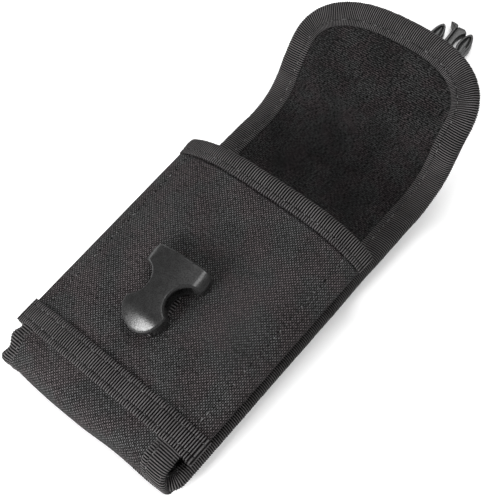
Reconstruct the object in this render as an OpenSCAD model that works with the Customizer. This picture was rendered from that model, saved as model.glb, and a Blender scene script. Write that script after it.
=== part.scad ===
// Belt pouch, open and empty, lying on its back with the flap folded open.
// +X runs across the pouch, +Y from the bottom to the flap, +Z away from the wearer.
// The origin is the middle of the belt loop's outer face, on which the pouch lies.
// The shapes are worked out in the pouch's own sewing frame: y = 0 at the front's lower edge and
// z = 0 at the back panel's outer face. in_frame() moves them to the origin.

/* [Front panel] */
// Length of the front, from its lower edge to the mouth
pouch_len = 107.9; // [100:0.1:125]
// Width of the front at its lower edge
front_w = 94.8; // [93:0.1:98]
// Width of the front at the mouth
mouth_w = 98.2; // [96:0.1:103]
// Height of the front's middle over the back's outer face, at the lower edge
low_mid_h = 15.4; // [14:0.1:20]
// Height of the front's sides over the back's outer face, at the lower edge
low_side_h = 10.8; // [10:0.1:13]
// Height of the front's middle over the back's outer face, at the mouth
mouth_mid_h = 31.4; // [26:0.1:36]
// Height of the front's sides over the back's outer face, at the mouth
mouth_side_h = 20.6; // [18:0.1:24]
// How square the front's domed section is
front_square = 3.5; // [2.5:0.1:5]
// Width of the hem folded under each side of the front
hem_w = 7.3; // [6:0.1:9]

/* [Back panel and flap] */
// Width of the back panel and flap inside their binding
back_w = 92.4; // [91:0.1:95]
// How far the back panel reaches below the front's lower edge
back_over = 11.6; // [9:0.1:13]
// Corner radius at the bottom of the back panel
back_corner_r = 12; // [10.5:0.5:16]
// Length of the flap along the sheet, from the mouth to its far edge
flap_len = 108.8; // [100:0.1:120]
// Length of the flap's rounded end
flap_round = 30; // [24:0.5:40]
// How square the flap's rounded end is
flap_square = 2.5; // [2:0.1:3]
// Slope of the flap near its root, in degrees
root_slope = 4.6; // [2:0.1:8]
// Steepest slope of the flap, at the end of its fold
fold_slope = 63; // [30:1:75]
// Slope of the flap at its far edge
end_slope = 25; // [10:1:60]
// Where the flap's fold starts, from the mouth
fold_start = 33; // [30:1:40]
// Where the flap's fold ends, from the mouth
fold_end = 67; // [60:1:76]

/* [Layers] */
// Thickness of the woven fabric
fabric_t = 0.8; // [0.6:0.05:1]
// Thickness of the foam in the back panel and flap
back_foam_t = 1.5; // [1:0.1:2]
// Thickness of the foam in the front panel
front_foam_t = 1.2; // [0.9:0.1:1.6]
// Thickness of the linings
lining_t = 0.6; // [0.4:0.05:0.8]
// Gap between layers that are sewn together
ply_gap = 0.05; // [0.03:0.01:0.1]
// Gap between the front's foam and its narrower lining
lining_gap = 0.2; // [0.15:0.01:0.3]

/* [Bindings] */
// Thickness of the ribbed tape
tape_t = 0.7; // [0.5:0.05:0.9]
// Width of the tape on each side of the rim that it binds
rim_leg = 9.8; // [8:0.1:10.2]
// Width of the mouth's binding on each side of the front
mouth_leg = 8; // [6:0.1:10]
// Width of the binding on the bottom strip's sides
wrap_leg = 9.4; // [7:0.1:10]
// Width of the tape across the front's lower edge
lower_tape_w = 10.9; // [9:0.1:13]
// How far the lower tape's ends turn under the front's sides
lower_tape_turn = 4.2; // [3:0.1:4.5]

/* [Sides and bottom] */
// Width of the pouch between its side walls
inner_w = 80.4; // [79:0.1:82]
// How far each side of the bottom strip is inside the front's side
wrap_inset = 4.1; // [3.5:0.1:5.4]
// How far the bottom strip bulges below the front's lower edge
wrap_bulge = 14.8; // [14.7:0.1:17]
// How far the bottom strip runs on under the back panel
wrap_tuck = 6; // [2:0.5:12]

/* [Belt loop] */
// Width of the belt loop
loop_w = 40; // [30:1:50]
// Full length of the belt loop
loop_len = 76; // [66:1:84]
// Length of each of its sewn ends
loop_end = 9; // [7:0.5:12]
// Height of the room for the belt
loop_room = 4.5; // [4.3:0.1:8]
// Thickness of the belt loop's webbing
loop_t = 1.4; // [1:0.1:1.8]
// Height of the loop's lower end above the front's lower edge
loop_y = 30; // [20:1:34]

/* [Webbing and buckle] */
// Sideways place of the buckle's middle line
buckle_x = -2.5; // [-4:0.5:4]
// Width of the buckle's webbing
web_w = 14; // [12:0.5:14.6]
// Thickness of the buckle's webbing
web_t = 1; // [0.8:0.1:1.2]
// Radius of the bars that the webbing loops round
bar_r = 1.4; // [1.2:0.05:1.6]
// Clearance of the webbing round a bar
bar_clear = 0.3; // [0.2:0.05:0.4]
// Clearance between moving plastic and webbing beside it
side_clear = 0.4; // [0.3:0.05:0.6]
// Clearance under the socket, over its webbing
socket_clear = 0.25; // [0.2:0.05:0.5]

/* [Socket] */
// Length of the socket
socket_len = 35; // [33:0.5:38]
// Width of the socket at its mouth
socket_w = 29.2; // [28.6:0.2:31]
// Radius of the socket's rounded end
lobe_r = 9.8; // [9.5:0.1:10.4]
// Width of the socket's waist
waist_w = 10.6; // [9:0.1:12]
// Radius of the hollows at the socket's waist
scoop_r = 8.6; // [8:0.1:9]
// Thickness of the socket
socket_t = 8.6; // [8.4:0.1:9.6]
// Radius of the socket's crowned top, across
socket_crown_r = 44; // [40:1:60]
// Length of the socket's mouth block
mouth_block = 10; // [9:0.5:11]
// Width of the socket's cavity
cavity_w = 21; // [20:0.2:22]
// Height of the socket's cavity
cavity_h = 5.2; // [5:0.1:5.4]
// Thickness of the socket's floor
socket_floor = 1.2; // [1:0.1:1.4]
// Distance of the socket's bar from its rounded end
socket_bar_y = 4.8; // [4.6:0.1:5.2]
// Height of the socket's bar above the front's lower edge, along the front
socket_y = 27; // [22:0.5:34]

/* [Clip] */
// Distance from the clip's bar to the prongs' tips
clip_len = 33.5; // [32:0.5:36]
// Width of the clip's base
clip_base_w = 21; // [20:0.2:23]
// Widest reach of the prongs
clip_w = 24.4; // [23.6:0.2:26]
// Thickness of the clip's base
clip_t = 5; // [4.6:0.1:5.4]
// Thickness of the prongs
prong_t = 4.4; // [4:0.1:4.6]
// Distance of the clip's bar from the mouth, along the table
clip_reach = 118; // [112:1:126]

/* [Strap] */
// Where the strap's stitching starts on the flap, from the mouth
strap_start = 5; // [3:1:12]
// Where the strap leaves the flap, from the mouth
strap_leave = 32; // [26:1:34]
// Length over which the strap comes down to the table
strap_drop = 34; // [28:1:44]
// Length of the strap's end that is folded back at the clip
strap_turn = 20; // [16:1:26]

/* [Hidden] */
$fn = 64;
back_t = fabric_t + back_foam_t + lining_t + 2 * ply_gap;
front_t = 2 * fabric_t + front_foam_t + 2 * ply_gap;
front_under = fabric_t + front_foam_t + ply_gap + lining_gap + lining_t;
skin = tape_t + ply_gap;
back_z = loop_room + loop_t + ply_gap;
loop_mid = loop_y + loop_len / 2;
mouth_edge = pouch_len - skin;
bottom_s = -(pouch_len + back_over);
ring_r = bar_r + bar_clear + web_t;
ring_step = 0.06;
ring_rise = ring_r + ring_step;
fabric_colour = [0.19, 0.18, 0.19];
tape_colour = [0.16, 0.15, 0.16];
lining_colour = [0.09, 0.08, 0.09];
foam_colour = [0.3, 0.3, 0.31];
plastic_colour = [0.2, 0.2, 0.21];
thread_colour = [0.12, 0.12, 0.12];

// The sewing frame, moved so that the origin is the middle of the belt loop's outer face
module in_frame() { translate([0, -loop_mid, back_z]) children(); }

// A profile in the YZ plane, given width along X
module across(width, x = 0) {
    translate([x, 0, 0]) rotate([90, 0, 90]) linear_extrude(width, center = true) children();
}

function without_first(list) = [for (i = [1 : len(list) - 1]) list[i]];
function reversed(list) = [for (i = [len(list) - 1 : -1 : 0]) list[i]];
function mirrored(list) = [for (p = list) [-p[0], p[1], p[2]]];

// A ring of points round a thick line: one side out, the other side back
function thick(side_a, side_b) = concat(side_a, reversed(side_b));

// Rings of equal length joined into one solid. Each ring is a thick line, so its ends close as a strip.
module loft(rings, closed = false) {
    size = len(rings[0]);
    count = len(rings);
    points = [for (ring = rings) each ring];
    sides = [for (i = [0 : closed ? count - 1 : count - 2], j = [0 : size - 1])
        let (n = (i + 1) % count, k = (j + 1) % size, a = i * size + j, b = i * size + k,
            c = n * size + k, d = n * size + j)
        each [[a, b, c], [a, c, d]]];
    last = (count - 1) * size;
    caps = closed ? [] : [for (j = [0 : size / 2 - 2])
        let (k = size - 1 - j)
        each [[j, k - 1, j + 1], [j, k, k - 1], [last + j, last + j + 1, last + k - 1],
            [last + j, last + k - 1, last + k]]];
    polyhedron(points, concat(sides, caps));
}

// A polyline thickened by half of width on each side, as a closed outline
function line_normal(path, i) =
    let (a = path[max(i - 1, 0)], b = path[min(i + 1, len(path) - 1)], d = b - a)
    [-d[1], d[0]] / norm(d);
function ribbon(path, width) = concat(
    [for (i = [0 : len(path) - 1]) path[i] + line_normal(path, i) * width / 2],
    [for (i = [len(path) - 1 : -1 : 0]) path[i] - line_normal(path, i) * width / 2]);

function bezier(a, b, c, d, steps) = [for (i = [0 : steps]) let (t = i / steps, u = 1 - t)
    u * u * u * a + 3 * u * u * t * b + 3 * u * t * t * c + t * t * t * d];

// The long sheet of back panel and flap. s runs along it, 0 at the mouth.
bend_start = -12;
bend_step = 2;
slope_table = [[bend_start, 0], [8, root_slope], [fold_start, root_slope], [fold_end, fold_slope],
    [flap_len, end_slope]];
function slope(s) = lookup(s, slope_table);
sheet_path = [for (s = bend_start, y = pouch_len + bend_start, z = 0; s <= flap_len + bend_step;
    y = y + bend_step * cos(slope(s + bend_step / 2)), z = z + bend_step * sin(slope(s + bend_step / 2)),
    s = s + bend_step) [s, y, z]];
far_s = 1000;
sheet_y_table = concat([[-far_s, pouch_len - far_s]], [for (p = sheet_path) [p[0], p[1]]]);
sheet_z_table = concat([[-far_s, 0]], [for (p = sheet_path) [p[0], p[2]]]);
function on_sheet(x, s, n) = let (a = slope(s))
    [x, lookup(s, sheet_y_table) - n * sin(a), lookup(s, sheet_z_table) + n * cos(a)];

// Half of the sheet's outline, from the bottom edge round to the flap's far edge, as [x, s]
corner_step = 15;
end_step = 5;
sheet_step = 2.5;
function sheet_edge(half_w) = concat(
    [for (a = [0 : corner_step : 90])
        [half_w - back_corner_r * (1 - sin(a)), bottom_s + back_corner_r * (1 - cos(a))]],
    [for (s = [bend_start : sheet_step : flap_len - flap_round - sheet_step / 2]) [half_w, s]],
    [for (a = [0 : end_step : 90 - end_step / 4]) [half_w * pow(cos(a), 2 / flap_square),
        flap_len - flap_round + flap_round * pow(sin(a), 2 / flap_square)]]);

// One layer of the sheet between two heights over its outer face
module sheet_layer(low, high) {
    loft([for (e = sheet_edge(back_w / 2)) thick(
        [on_sheet(-e[0], e[1], low), on_sheet(e[0], e[1], low)],
        [on_sheet(-e[0], e[1], high), on_sheet(e[0], e[1], high)])]);
}

// Heights of the front panel's outer face, domed across and rising towards the mouth
function front_half(y) = (front_w + (mouth_w - front_w) * y / pouch_len) / 2;
function front_mid(y) = low_mid_h + (mouth_mid_h - low_mid_h) * y / pouch_len;
function front_side(y) = low_side_h + (mouth_side_h - low_side_h) * y / pouch_len;
function front_z(x, y) = let (side = front_side(y))
    side + (front_mid(y) - side) * (1 - pow(abs(x) / front_half(y), front_square));
function on_front(x, y, depth) = [x, y, front_z(x, y) - depth];
front_slope = atan((mouth_mid_h - low_mid_h) / pouch_len);

// Points across the front from side to side, closer together where it curves most
front_cols = 32;
function front_run(half, y, depth) = [for (i = [-front_cols / 2 : front_cols / 2])
    on_front(half * sin(90 * i / (front_cols / 2)), y, depth)];

// Points across a hem's under side
under_cols = 4;
function under_run(from_x, to_x, y, depth) = [for (i = [0 : under_cols])
    on_front(from_x + (to_x - from_x) * i / under_cols, y, depth)];

// Section of a cloth that lies over the front and turns under both of its sides
turn_r = 0.6;
mouth_gap = 2 * ply_gap;
function turned(y, out, thick_in, turn) =
    let (half = front_half(y) + out, deep = front_t + out, edge = front_half(y), inset = thick_in)
    let (side_a = concat(under_run(edge - turn, half - turn_r, y, deep),
            [[half, y, front_z(edge, y) - deep + turn_r], [half, y, front_z(edge, y) + out - turn_r]]),
        side_b = concat(under_run(edge - turn, half - inset - turn_r / 2, y, deep - inset),
            [[half - inset, y, front_z(edge, y) - deep + inset + turn_r / 2],
                [half - inset, y, front_z(edge, y) + out - inset - turn_r / 2]]))
    thick(
        concat(mirrored(side_a), front_run(half - turn_r, y, -out), reversed(side_a)),
        concat(mirrored(side_b), front_run(half - inset - turn_r / 2, y, inset - out), reversed(side_b)));

module back_shell() { color(fabric_colour) in_frame() sheet_layer(0, fabric_t); }
module back_foam() {
    color(foam_colour) in_frame() sheet_layer(fabric_t + ply_gap, back_t - lining_t - ply_gap);
}
module back_lining() { color(lining_colour) in_frame() sheet_layer(back_t - lining_t, back_t); }

// Ribbed tape folded round the whole rim. Beside the pouch its inner side stops short of the side walls.
gusset_clear = 0.4;
short_leg = back_w / 2 - inner_w / 2 - fabric_t - gusset_clear;
leg_table = [[0, short_leg], [12, rim_leg]];
rim_turn = 0.35;
leg_cols = 3;
function leg_run(leg, n) = [for (i = [0 : leg_cols]) [-leg * (1 - i / leg_cols), n]];
function rim_section(inner_leg) = thick(
    concat(leg_run(rim_leg, -skin), [[skin, rim_turn], [skin, back_t - rim_turn]],
        reversed(leg_run(inner_leg, back_t + skin))),
    concat(leg_run(rim_leg, -ply_gap), [[ply_gap, rim_turn], [ply_gap, back_t - rim_turn]],
        reversed(leg_run(inner_leg, back_t + ply_gap))));
module rim_binding() {
    right = sheet_edge(back_w / 2);
    outline = concat(right, [for (p = reversed(right)) [-p[0], p[1]]]);
    count = len(outline);
    color(tape_colour) in_frame()
    loft([for (i = [0 : count - 1])
        let (d = outline[(i + 1) % count] - outline[(i + count - 1) % count], out = [d[1], -d[0]] / norm(d),
            p = outline[i])
        [for (q = rim_section(lookup(p[1], leg_table)))
            on_sheet(p[0] + q[0] * out[0], p[1] + q[0] * out[1], q[1])]], closed = true);
}

// Front panel: woven shell with folded hems, foam and lining
front_low_y = 1;
front_rows = [front_low_y, pouch_len / 3, 2 * pouch_len / 3, mouth_edge];
module front_shell() {
    color(fabric_colour) in_frame() loft([for (y = front_rows) turned(y, 0, fabric_t, hem_w)]);
}
module front_layer(low, high, inset) {
    loft([for (y = front_rows) thick(front_run(front_half(y) - inset, y, high),
        front_run(front_half(y) - inset, y, low))]);
}
module front_foam() {
    color(foam_colour) in_frame()
    front_layer(fabric_t + ply_gap, fabric_t + ply_gap + front_foam_t, fabric_t + turn_r);
}
module front_lining() {
    color(lining_colour) in_frame() front_layer(front_under - lining_t, front_under, hem_w + lining_gap);
}

// Ribbed tape over the front's top edge
module mouth_binding() {
    deep = front_t;
    fold_y = mouth_edge - mouth_leg;
    color(tape_colour) in_frame()
    loft([for (i = [-front_cols / 2 : front_cols / 2])
        let (share = sin(90 * i / (front_cols / 2)), low_x = (front_half(fold_y) - turn_r) * share,
            x = (front_half(mouth_edge) - turn_r) * share)
        thick(
            [on_front(low_x, fold_y, -skin), on_front(x, mouth_edge, -skin),
                on_front(x, pouch_len, rim_turn), on_front(x, pouch_len, deep - rim_turn),
                on_front(x, mouth_edge, deep + skin), on_front(low_x, fold_y, deep + skin)],
            [on_front(low_x, fold_y, -mouth_gap), on_front(x, mouth_edge, -mouth_gap),
                on_front(x, mouth_edge + ply_gap, rim_turn), on_front(x, mouth_edge + ply_gap, deep - rim_turn),
                on_front(x, mouth_edge, deep + mouth_gap), on_front(low_x, fold_y, deep + mouth_gap)])]);
}

// Ribbed tape across the front's lower edge, its ends turned under the hems
module lower_tape() {
    color(tape_colour) in_frame()
    loft([for (y = [0, lower_tape_w / 2, lower_tape_w]) turned(y, skin, tape_t, lower_tape_turn)]);
}

// Side walls, standing on the back panel under the front's hems
gusset_end = mouth_edge - 1;
gusset_step = 0.3;
gusset_rows = [front_low_y + 1, pouch_len + bend_start, mouth_edge - mouth_leg - gusset_step,
    mouth_edge - mouth_leg - gusset_step / 2, gusset_end - mouth_leg / 2, gusset_end];
hem_clear = 0.25;
hem_seat = 1;
gusset_cols = 5;
function gusset_x(y, v) = let (foot = inner_w / 2, top = front_half(y) - hem_w + hem_seat)
    foot + (top - foot) * v;
function gusset_top(y) = front_t + hem_clear + (y > mouth_edge - mouth_leg - gusset_step * 0.75 ? skin : 0);
function gusset_foot(y, over) = lookup(y - pouch_len, sheet_z_table) + back_t + over;
function gusset_z(y, v) = let (low = gusset_foot(y, 2 * ply_gap),
    top = front_z(gusset_x(y, 1) + fabric_t, y) - gusset_top(y))
    low + (top - low) * v;
function gusset_run(y, out) = [for (i = [0 : gusset_cols]) let (v = i / gusset_cols)
    [gusset_x(y, v) + out, y, gusset_z(y, v)]];
module gusset(side) {
    color(fabric_colour) in_frame() mirror([side < 0 ? 1 : 0, 0, 0])
    loft([for (y = gusset_rows) thick(gusset_run(y, 0), gusset_run(y, fabric_t))]);
}
module gusset_left() { gusset(-1); }
module gusset_right() { gusset(1); }

// Ribbed tape over the top edge of a side wall
module gusset_binding(side) {
    back_y = mouth_edge - mouth_leg;
    height = gusset_z(gusset_end, 1) - gusset_z(gusset_end, 0);
    spare = (skin + 2 * ply_gap) / height;
    function leg(v, out, y) = let (wall_y = min(y, gusset_end), w = spare + (1 - 2 * spare) * v)
        [gusset_x(wall_y, w) + out, y, gusset_z(wall_y, w)];
    mid_y = gusset_end - mouth_leg / 2;
    color(tape_colour) in_frame() mirror([side < 0 ? 1 : 0, 0, 0])
    loft([for (i = [0 : gusset_cols]) let (v = i / gusset_cols) reversed(thick(
        [leg(v, -skin, back_y), leg(v, -skin, mid_y), leg(v, -skin, gusset_end), leg(v, 0, gusset_end + skin),
            leg(v, fabric_t, gusset_end + skin), leg(v, fabric_t + skin, gusset_end),
            leg(v, fabric_t + skin, mid_y), leg(v, fabric_t + skin, back_y)],
        [leg(v, -ply_gap, back_y), leg(v, -ply_gap, mid_y), leg(v, -ply_gap, gusset_end),
            leg(v, 0, gusset_end + ply_gap), leg(v, fabric_t, gusset_end + ply_gap),
            leg(v, fabric_t + ply_gap, gusset_end), leg(v, fabric_t + ply_gap, mid_y),
            leg(v, fabric_t + ply_gap, back_y)]))]);
}
module gusset_binding_left() { gusset_binding(-1); }
module gusset_binding_right() { gusset_binding(1); }

// Woven strip from the front's lower edge, round the bottom and on under the back panel.
// off is the depth under the strip's outer face.
wrap_sheet_w = front_w - 2 * (wrap_inset + skin);
wrap_low = 2 * skin + 2 * ply_gap + fabric_t;
function wrap_line(x, off, first_y) =
    let (top = front_z(x, 0) - off, out = -(wrap_bulge - off), low = -wrap_low + off)
    concat(
        bezier([first_y, top], [out * 0.6, top], [out, top * 0.8], [out, top * 0.35], 7),
        without_first(bezier([out, top * 0.35], [out, low * 0.5], [out * 0.97, low], [out * 0.8, low], 4)),
        [[wrap_tuck, low]]);
wrap_first_y = front_low_y - 0.4;
function wrap_col(i) = wrap_sheet_w / 2 - wrap_leg * (1 - i / leg_cols);
wrap_cols = let (right = [for (i = [0 : leg_cols]) wrap_col(i)], inner = [for (i = [-2 : 2]) right[0] * i / 3])
    concat([for (x = reversed(right)) -x], inner, right);
module bottom_wrap() {
    color(fabric_colour) in_frame()
    loft([for (x = wrap_cols) reversed(thick(
        [for (p = wrap_line(x, 0, wrap_first_y)) [x, p[0], p[1]]],
        [for (p = wrap_line(x, fabric_t, wrap_first_y)) [x, p[0], p[1]]]))]);
}

// Ribbed tape folded round one side edge of the bottom strip
wrap_turn = 0.25;
module wrap_binding(side) {
    edge = wrap_sheet_w / 2;
    first_y = -0.5;
    // A line along the strip at x, whose height follows the strip at along_x
    function line(x, along_x, off) = let (path = wrap_line(along_x, off, wrap_first_y),
        t = (first_y - path[0][0]) / (path[1][0] - path[0][0]), start = path[0] + (path[1] - path[0]) * t)
        [for (p = concat([start], without_first(path))) [x, p[0], p[1]]];
    function leg_lines(off) = [for (i = [0 : leg_cols]) line(wrap_col(i), wrap_col(i), off)];
    lines = concat(
        leg_lines(-skin),
        [line(edge + skin, edge, wrap_turn), line(edge + skin, edge, fabric_t - wrap_turn)],
        reversed(leg_lines(fabric_t + skin)), leg_lines(fabric_t + ply_gap),
        [line(edge + ply_gap, edge, fabric_t - wrap_turn), line(edge + ply_gap, edge, wrap_turn)],
        reversed(leg_lines(-ply_gap)));
    color(tape_colour) in_frame() mirror([side < 0 ? 1 : 0, 0, 0])
    loft([for (i = [0 : len(lines[0]) - 1]) [for (along = lines) along[i]]]);
}
module wrap_binding_left() { wrap_binding(-1); }
module wrap_binding_right() { wrap_binding(1); }

// Webbing strap: sewn to the flap's outer face, then free down to the table and round the clip's bar
table_z = -back_z;
clip_bar = [pouch_len + clip_reach, table_z + ring_r];
flap_depth = -(ply_gap + web_t / 2);
function sheet_yz(s, n) = let (p = on_sheet(0, s, n)) [p[1], p[2]];
strap_on_flap = [for (i = [0 : 6]) sheet_yz(strap_start + (strap_leave - strap_start) * i / 6, flap_depth)];
strap_edge = strap_on_flap[6];
strap_floor = table_z + web_t / 2;
strap_over = strap_floor + web_t + ply_gap;
bar_wrap_r = ring_r - web_t / 2;
strap_path = concat(strap_on_flap,
    without_first(bezier(strap_edge, strap_edge + [strap_drop * 0.3, strap_drop * 0.3 * tan(root_slope)],
        [strap_edge[0] + strap_drop * 0.6, strap_floor], [strap_edge[0] + strap_drop, strap_floor], 10)),
    [for (a = [-90 : 15 : 90]) clip_bar + bar_wrap_r * [cos(a), sin(a)]],
    without_first(bezier(clip_bar + [0, bar_wrap_r], clip_bar + [-0.2 * strap_turn, bar_wrap_r],
        [clip_bar[0] - 0.3 * strap_turn, strap_over], [clip_bar[0] - strap_turn / 2, strap_over], 8)),
    [[clip_bar[0] - strap_turn, strap_over]]);
module flap_strap() { color(tape_colour) in_frame() across(web_w, buckle_x) polygon(ribbon(strap_path, web_t)); }

// Clip half of the buckle, one moulding, lying on the table
module lens(length, width) {
    r = (length * length / 4 + width * width / 4) / width;
    intersection() {
        translate([r - width / 2, 0]) circle(r);
        translate([width / 2 - r, 0]) circle(r);
    }
}
cheek_gap = web_w / 2 + side_clear;
clip_base_y = 8;
clip_base_len = 5;
cheek_h = clip_t - 0.4;
pad_w = 7;
pad_half = 10;
pad_x = clip_w / 2 - pad_w / 2;
pad_y = clip_len - pad_half;
arm_w = 2.6;
recess_len = 12;
recess_w = 3.6;
recess_depth = 1;
module prong_plan() {
    foot_y = clip_base_y + clip_base_len - 1;
    translate([pad_x, pad_y]) lens(2 * pad_half, pad_w);
    polygon([[clip_base_w / 2 - arm_w, foot_y], [clip_base_w / 2, foot_y],
        [pad_x + pad_w / 2 - 0.2, pad_y - pad_half / 4], [pad_x + pad_w / 2 - arm_w, pad_y]]);
}
module prong() {
    difference() {
        translate([0, 0, -prong_t / 2]) linear_extrude(prong_t) prong_plan();
        for (up = [-1, 1])
            translate([pad_x, pad_y, up * prong_t / 2])
            linear_extrude(2 * recess_depth, center = true) lens(recess_len, recess_w);
    }
}
guide_w = 4.8;
guide_inset = 0.6;
rail_w = 1.4;
rail_reach = 3;
module clip() {
    color(plastic_colour) in_frame() translate([buckle_x, clip_bar[0], clip_bar[1]]) {
        rotate([0, 90, 0]) cylinder(r = bar_r, h = 2 * cheek_gap + 1, center = true);
        for (side = [0, 1]) mirror([side, 0, 0]) {
            translate([cheek_gap, 0, 0]) rotate([0, 90, 0])
            cylinder(r = cheek_h / 2, h = clip_base_w / 2 - cheek_gap);
            translate([cheek_gap, 0, -cheek_h / 2])
            cube([clip_base_w / 2 - cheek_gap, clip_base_y + 1, cheek_h]);
            prong();
        }
        translate([-clip_base_w / 2, clip_base_y, -clip_t / 2]) cube([clip_base_w, clip_base_len, clip_t]);
        translate([-guide_w / 2, clip_base_y + 1, guide_inset - prong_t / 2])
        cube([guide_w, clip_len - clip_base_y - 2, prong_t - 2 * guide_inset]);
        translate([-rail_w / 2, clip_base_y + 1, -prong_t / 2])
        cube([rail_w, clip_len + rail_reach - clip_base_y - 1, prong_t]);
    }
}

// Socket half of the buckle, one moulding, lying on the front
socket_lift = web_t + ply_gap + socket_clear;
bar_rise = ring_rise + ply_gap - socket_lift;
module on_front_at(y) {
    translate([buckle_x, y, front_mid(y)]) rotate([front_slope, 0, 0]) children();
}
corner = 2.4;
scoop_share = 0.82;
lobe_round_r = 9;
tilt_room = 3.4;
cavity_back = 4;
module socket_plan() {
    block_y = socket_len - mouth_block;
    difference() {
        union() {
            translate([0, lobe_r]) circle(lobe_r);
            translate([-lobe_r, lobe_r]) square([2 * lobe_r, block_y - lobe_r + 1]);
            translate([-socket_w / 2, block_y]) square([socket_w, mouth_block - corner]);
            translate([-socket_w / 2 + corner, block_y]) square([socket_w - 2 * corner, mouth_block]);
            for (side = [-1, 1])
                translate([side * (socket_w / 2 - corner), socket_len - corner]) circle(corner);
        }
        for (side = [-1, 1])
            translate([side * (waist_w / 2 + scoop_r), block_y - scoop_r * scoop_share]) circle(scoop_r);
    }
}
// Side view of the socket: its top slopes down round the lobe's end
module socket_side() {
    intersection() {
        square([socket_len, socket_t]);
        union() {
            translate([lobe_round_r, socket_t - lobe_round_r]) circle(lobe_round_r);
            translate([lobe_round_r, 0]) square([socket_len, socket_t]);
        }
    }
}
module socket_body() {
    difference() {
        intersection() {
            linear_extrude(socket_t) socket_plan();
            across(2 * socket_w) socket_side();
            translate([0, -1, socket_t - socket_crown_r]) rotate([-90, 0, 0])
            cylinder(r = socket_crown_r, h = socket_len + 2, $fn = 96);
        }
        translate([-cavity_w / 2, lobe_r + cavity_back, socket_floor]) cube([cavity_w, socket_len, cavity_h]);
        across(web_w + 2 * side_clear) {
            translate([socket_bar_y, bar_rise]) circle(ring_r + side_clear);
            translate([socket_bar_y - ring_r - side_clear, -1])
            square([2 * (ring_r + side_clear), bar_rise + 1]);
        }
        translate([-socket_w / 2, -1, -1]) cube([socket_w, socket_bar_y - bar_r, tilt_room]);
    }
    translate([0, socket_bar_y, bar_rise]) rotate([0, 90, 0])
    cylinder(r = bar_r, h = web_w + 2 * side_clear + 1, center = true);
}
module socket() {
    color(plastic_colour) in_frame() on_front_at(socket_y)
    translate([0, -socket_bar_y, socket_lift]) socket_body();
}

// Webbing tab round the socket's bar, sewn to the front under the socket
tab_len = 16;
module socket_loop() {
    color(tape_colour) in_frame() on_front_at(socket_y) difference() {
        union() {
            translate([0, 0, ring_rise + ply_gap]) across(web_w) circle(ring_r);
            translate([-web_w / 2, 0, ply_gap]) cube([web_w, tab_len, web_t]);
        }
        translate([0, 0, ring_rise + ply_gap]) across(web_w + 2) circle(bar_r + bar_clear);
    }
}

// Webbing loop on the back, standing off far enough for a belt
loop_ramp = 6;
loop_seat = -(ply_gap + loop_t / 2);
loop_face = -back_z + loop_t / 2;
loop_path = let (a = loop_y, b = loop_y + loop_len) concat(
    [[a, loop_seat], [a + loop_end, loop_seat]],
    without_first(bezier([a + loop_end, loop_seat], [a + loop_end + loop_ramp / 2, loop_seat],
        [a + loop_end + loop_ramp / 2, loop_face], [a + loop_end + loop_ramp, loop_face], 6)),
    bezier([b - loop_end - loop_ramp, loop_face], [b - loop_end - loop_ramp / 2, loop_face],
        [b - loop_end - loop_ramp / 2, loop_seat], [b - loop_end, loop_seat], 6),
    [[b, loop_seat]]);
module belt_loop() { color(tape_colour) in_frame() across(loop_w) polygon(ribbon(loop_path, loop_t)); }

// Bar tacks: short bars of dense thread
tack_w = 1.6;
tack_t = 0.5;
tack_inset = 2;
module tack(length) { translate([-length / 2, -tack_w / 2, 0]) cube([length, tack_w, tack_t]); }
module belt_loop_tacks() {
    color(thread_colour) in_frame()
    for (y = [loop_y + tack_inset, loop_y + loop_end - tack_inset,
        loop_y + loop_len - loop_end + tack_inset, loop_y + loop_len - tack_inset])
        translate([0, y, -(2 * ply_gap + loop_t) - tack_t]) tack(loop_w - 2 * tack_inset);
}
module strap_tacks() {
    color(thread_colour) in_frame() {
        for (s = [strap_start + tack_inset, strap_leave - tack_inset])
            let (p = on_sheet(0, s, -(2 * ply_gap + web_t)))
            translate([buckle_x, p[1], p[2]]) rotate([slope(s), 0, 0]) mirror([0, 0, 1]) tack(web_w - 2);
        translate([buckle_x, clip_bar[0] - strap_turn + 3, table_z + 2 * (web_t + ply_gap)]) tack(web_w - 2);
    }
}
module socket_tack() {
    color(thread_colour) in_frame() on_front_at(socket_y)
    translate([0, tab_len + tack_w / 2 + ply_gap, ply_gap]) tack(web_w - 3);
}

back_shell();
back_foam();
back_lining();
rim_binding();
front_shell();
front_foam();
front_lining();
mouth_binding();
lower_tape();
gusset_left();
gusset_right();
gusset_binding_left();
gusset_binding_right();
bottom_wrap();
wrap_binding_left();
wrap_binding_right();
flap_strap();
clip();
socket();
socket_loop();
belt_loop();
belt_loop_tacks();
strap_tacks();
socket_tack();
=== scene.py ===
"""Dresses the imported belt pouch: woven shells, ribbed bindings, pile lining, webbing and the buckle's halves.

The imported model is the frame. The cloth pieces are worked out in the pouch's own sewing frame, in metres:
x runs across, y from the front's lower edge to the flap, z up from the back panel's outer face.
sewn() moves a point of the sewing frame to the row frame.
"""

import logging
import math
from bisect import bisect_right
from dataclasses import dataclass, field
from enum import Enum
from typing import Callable, Iterable, Sequence

import bmesh
import bpy
from mathutils import Matrix, Vector, noise


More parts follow.
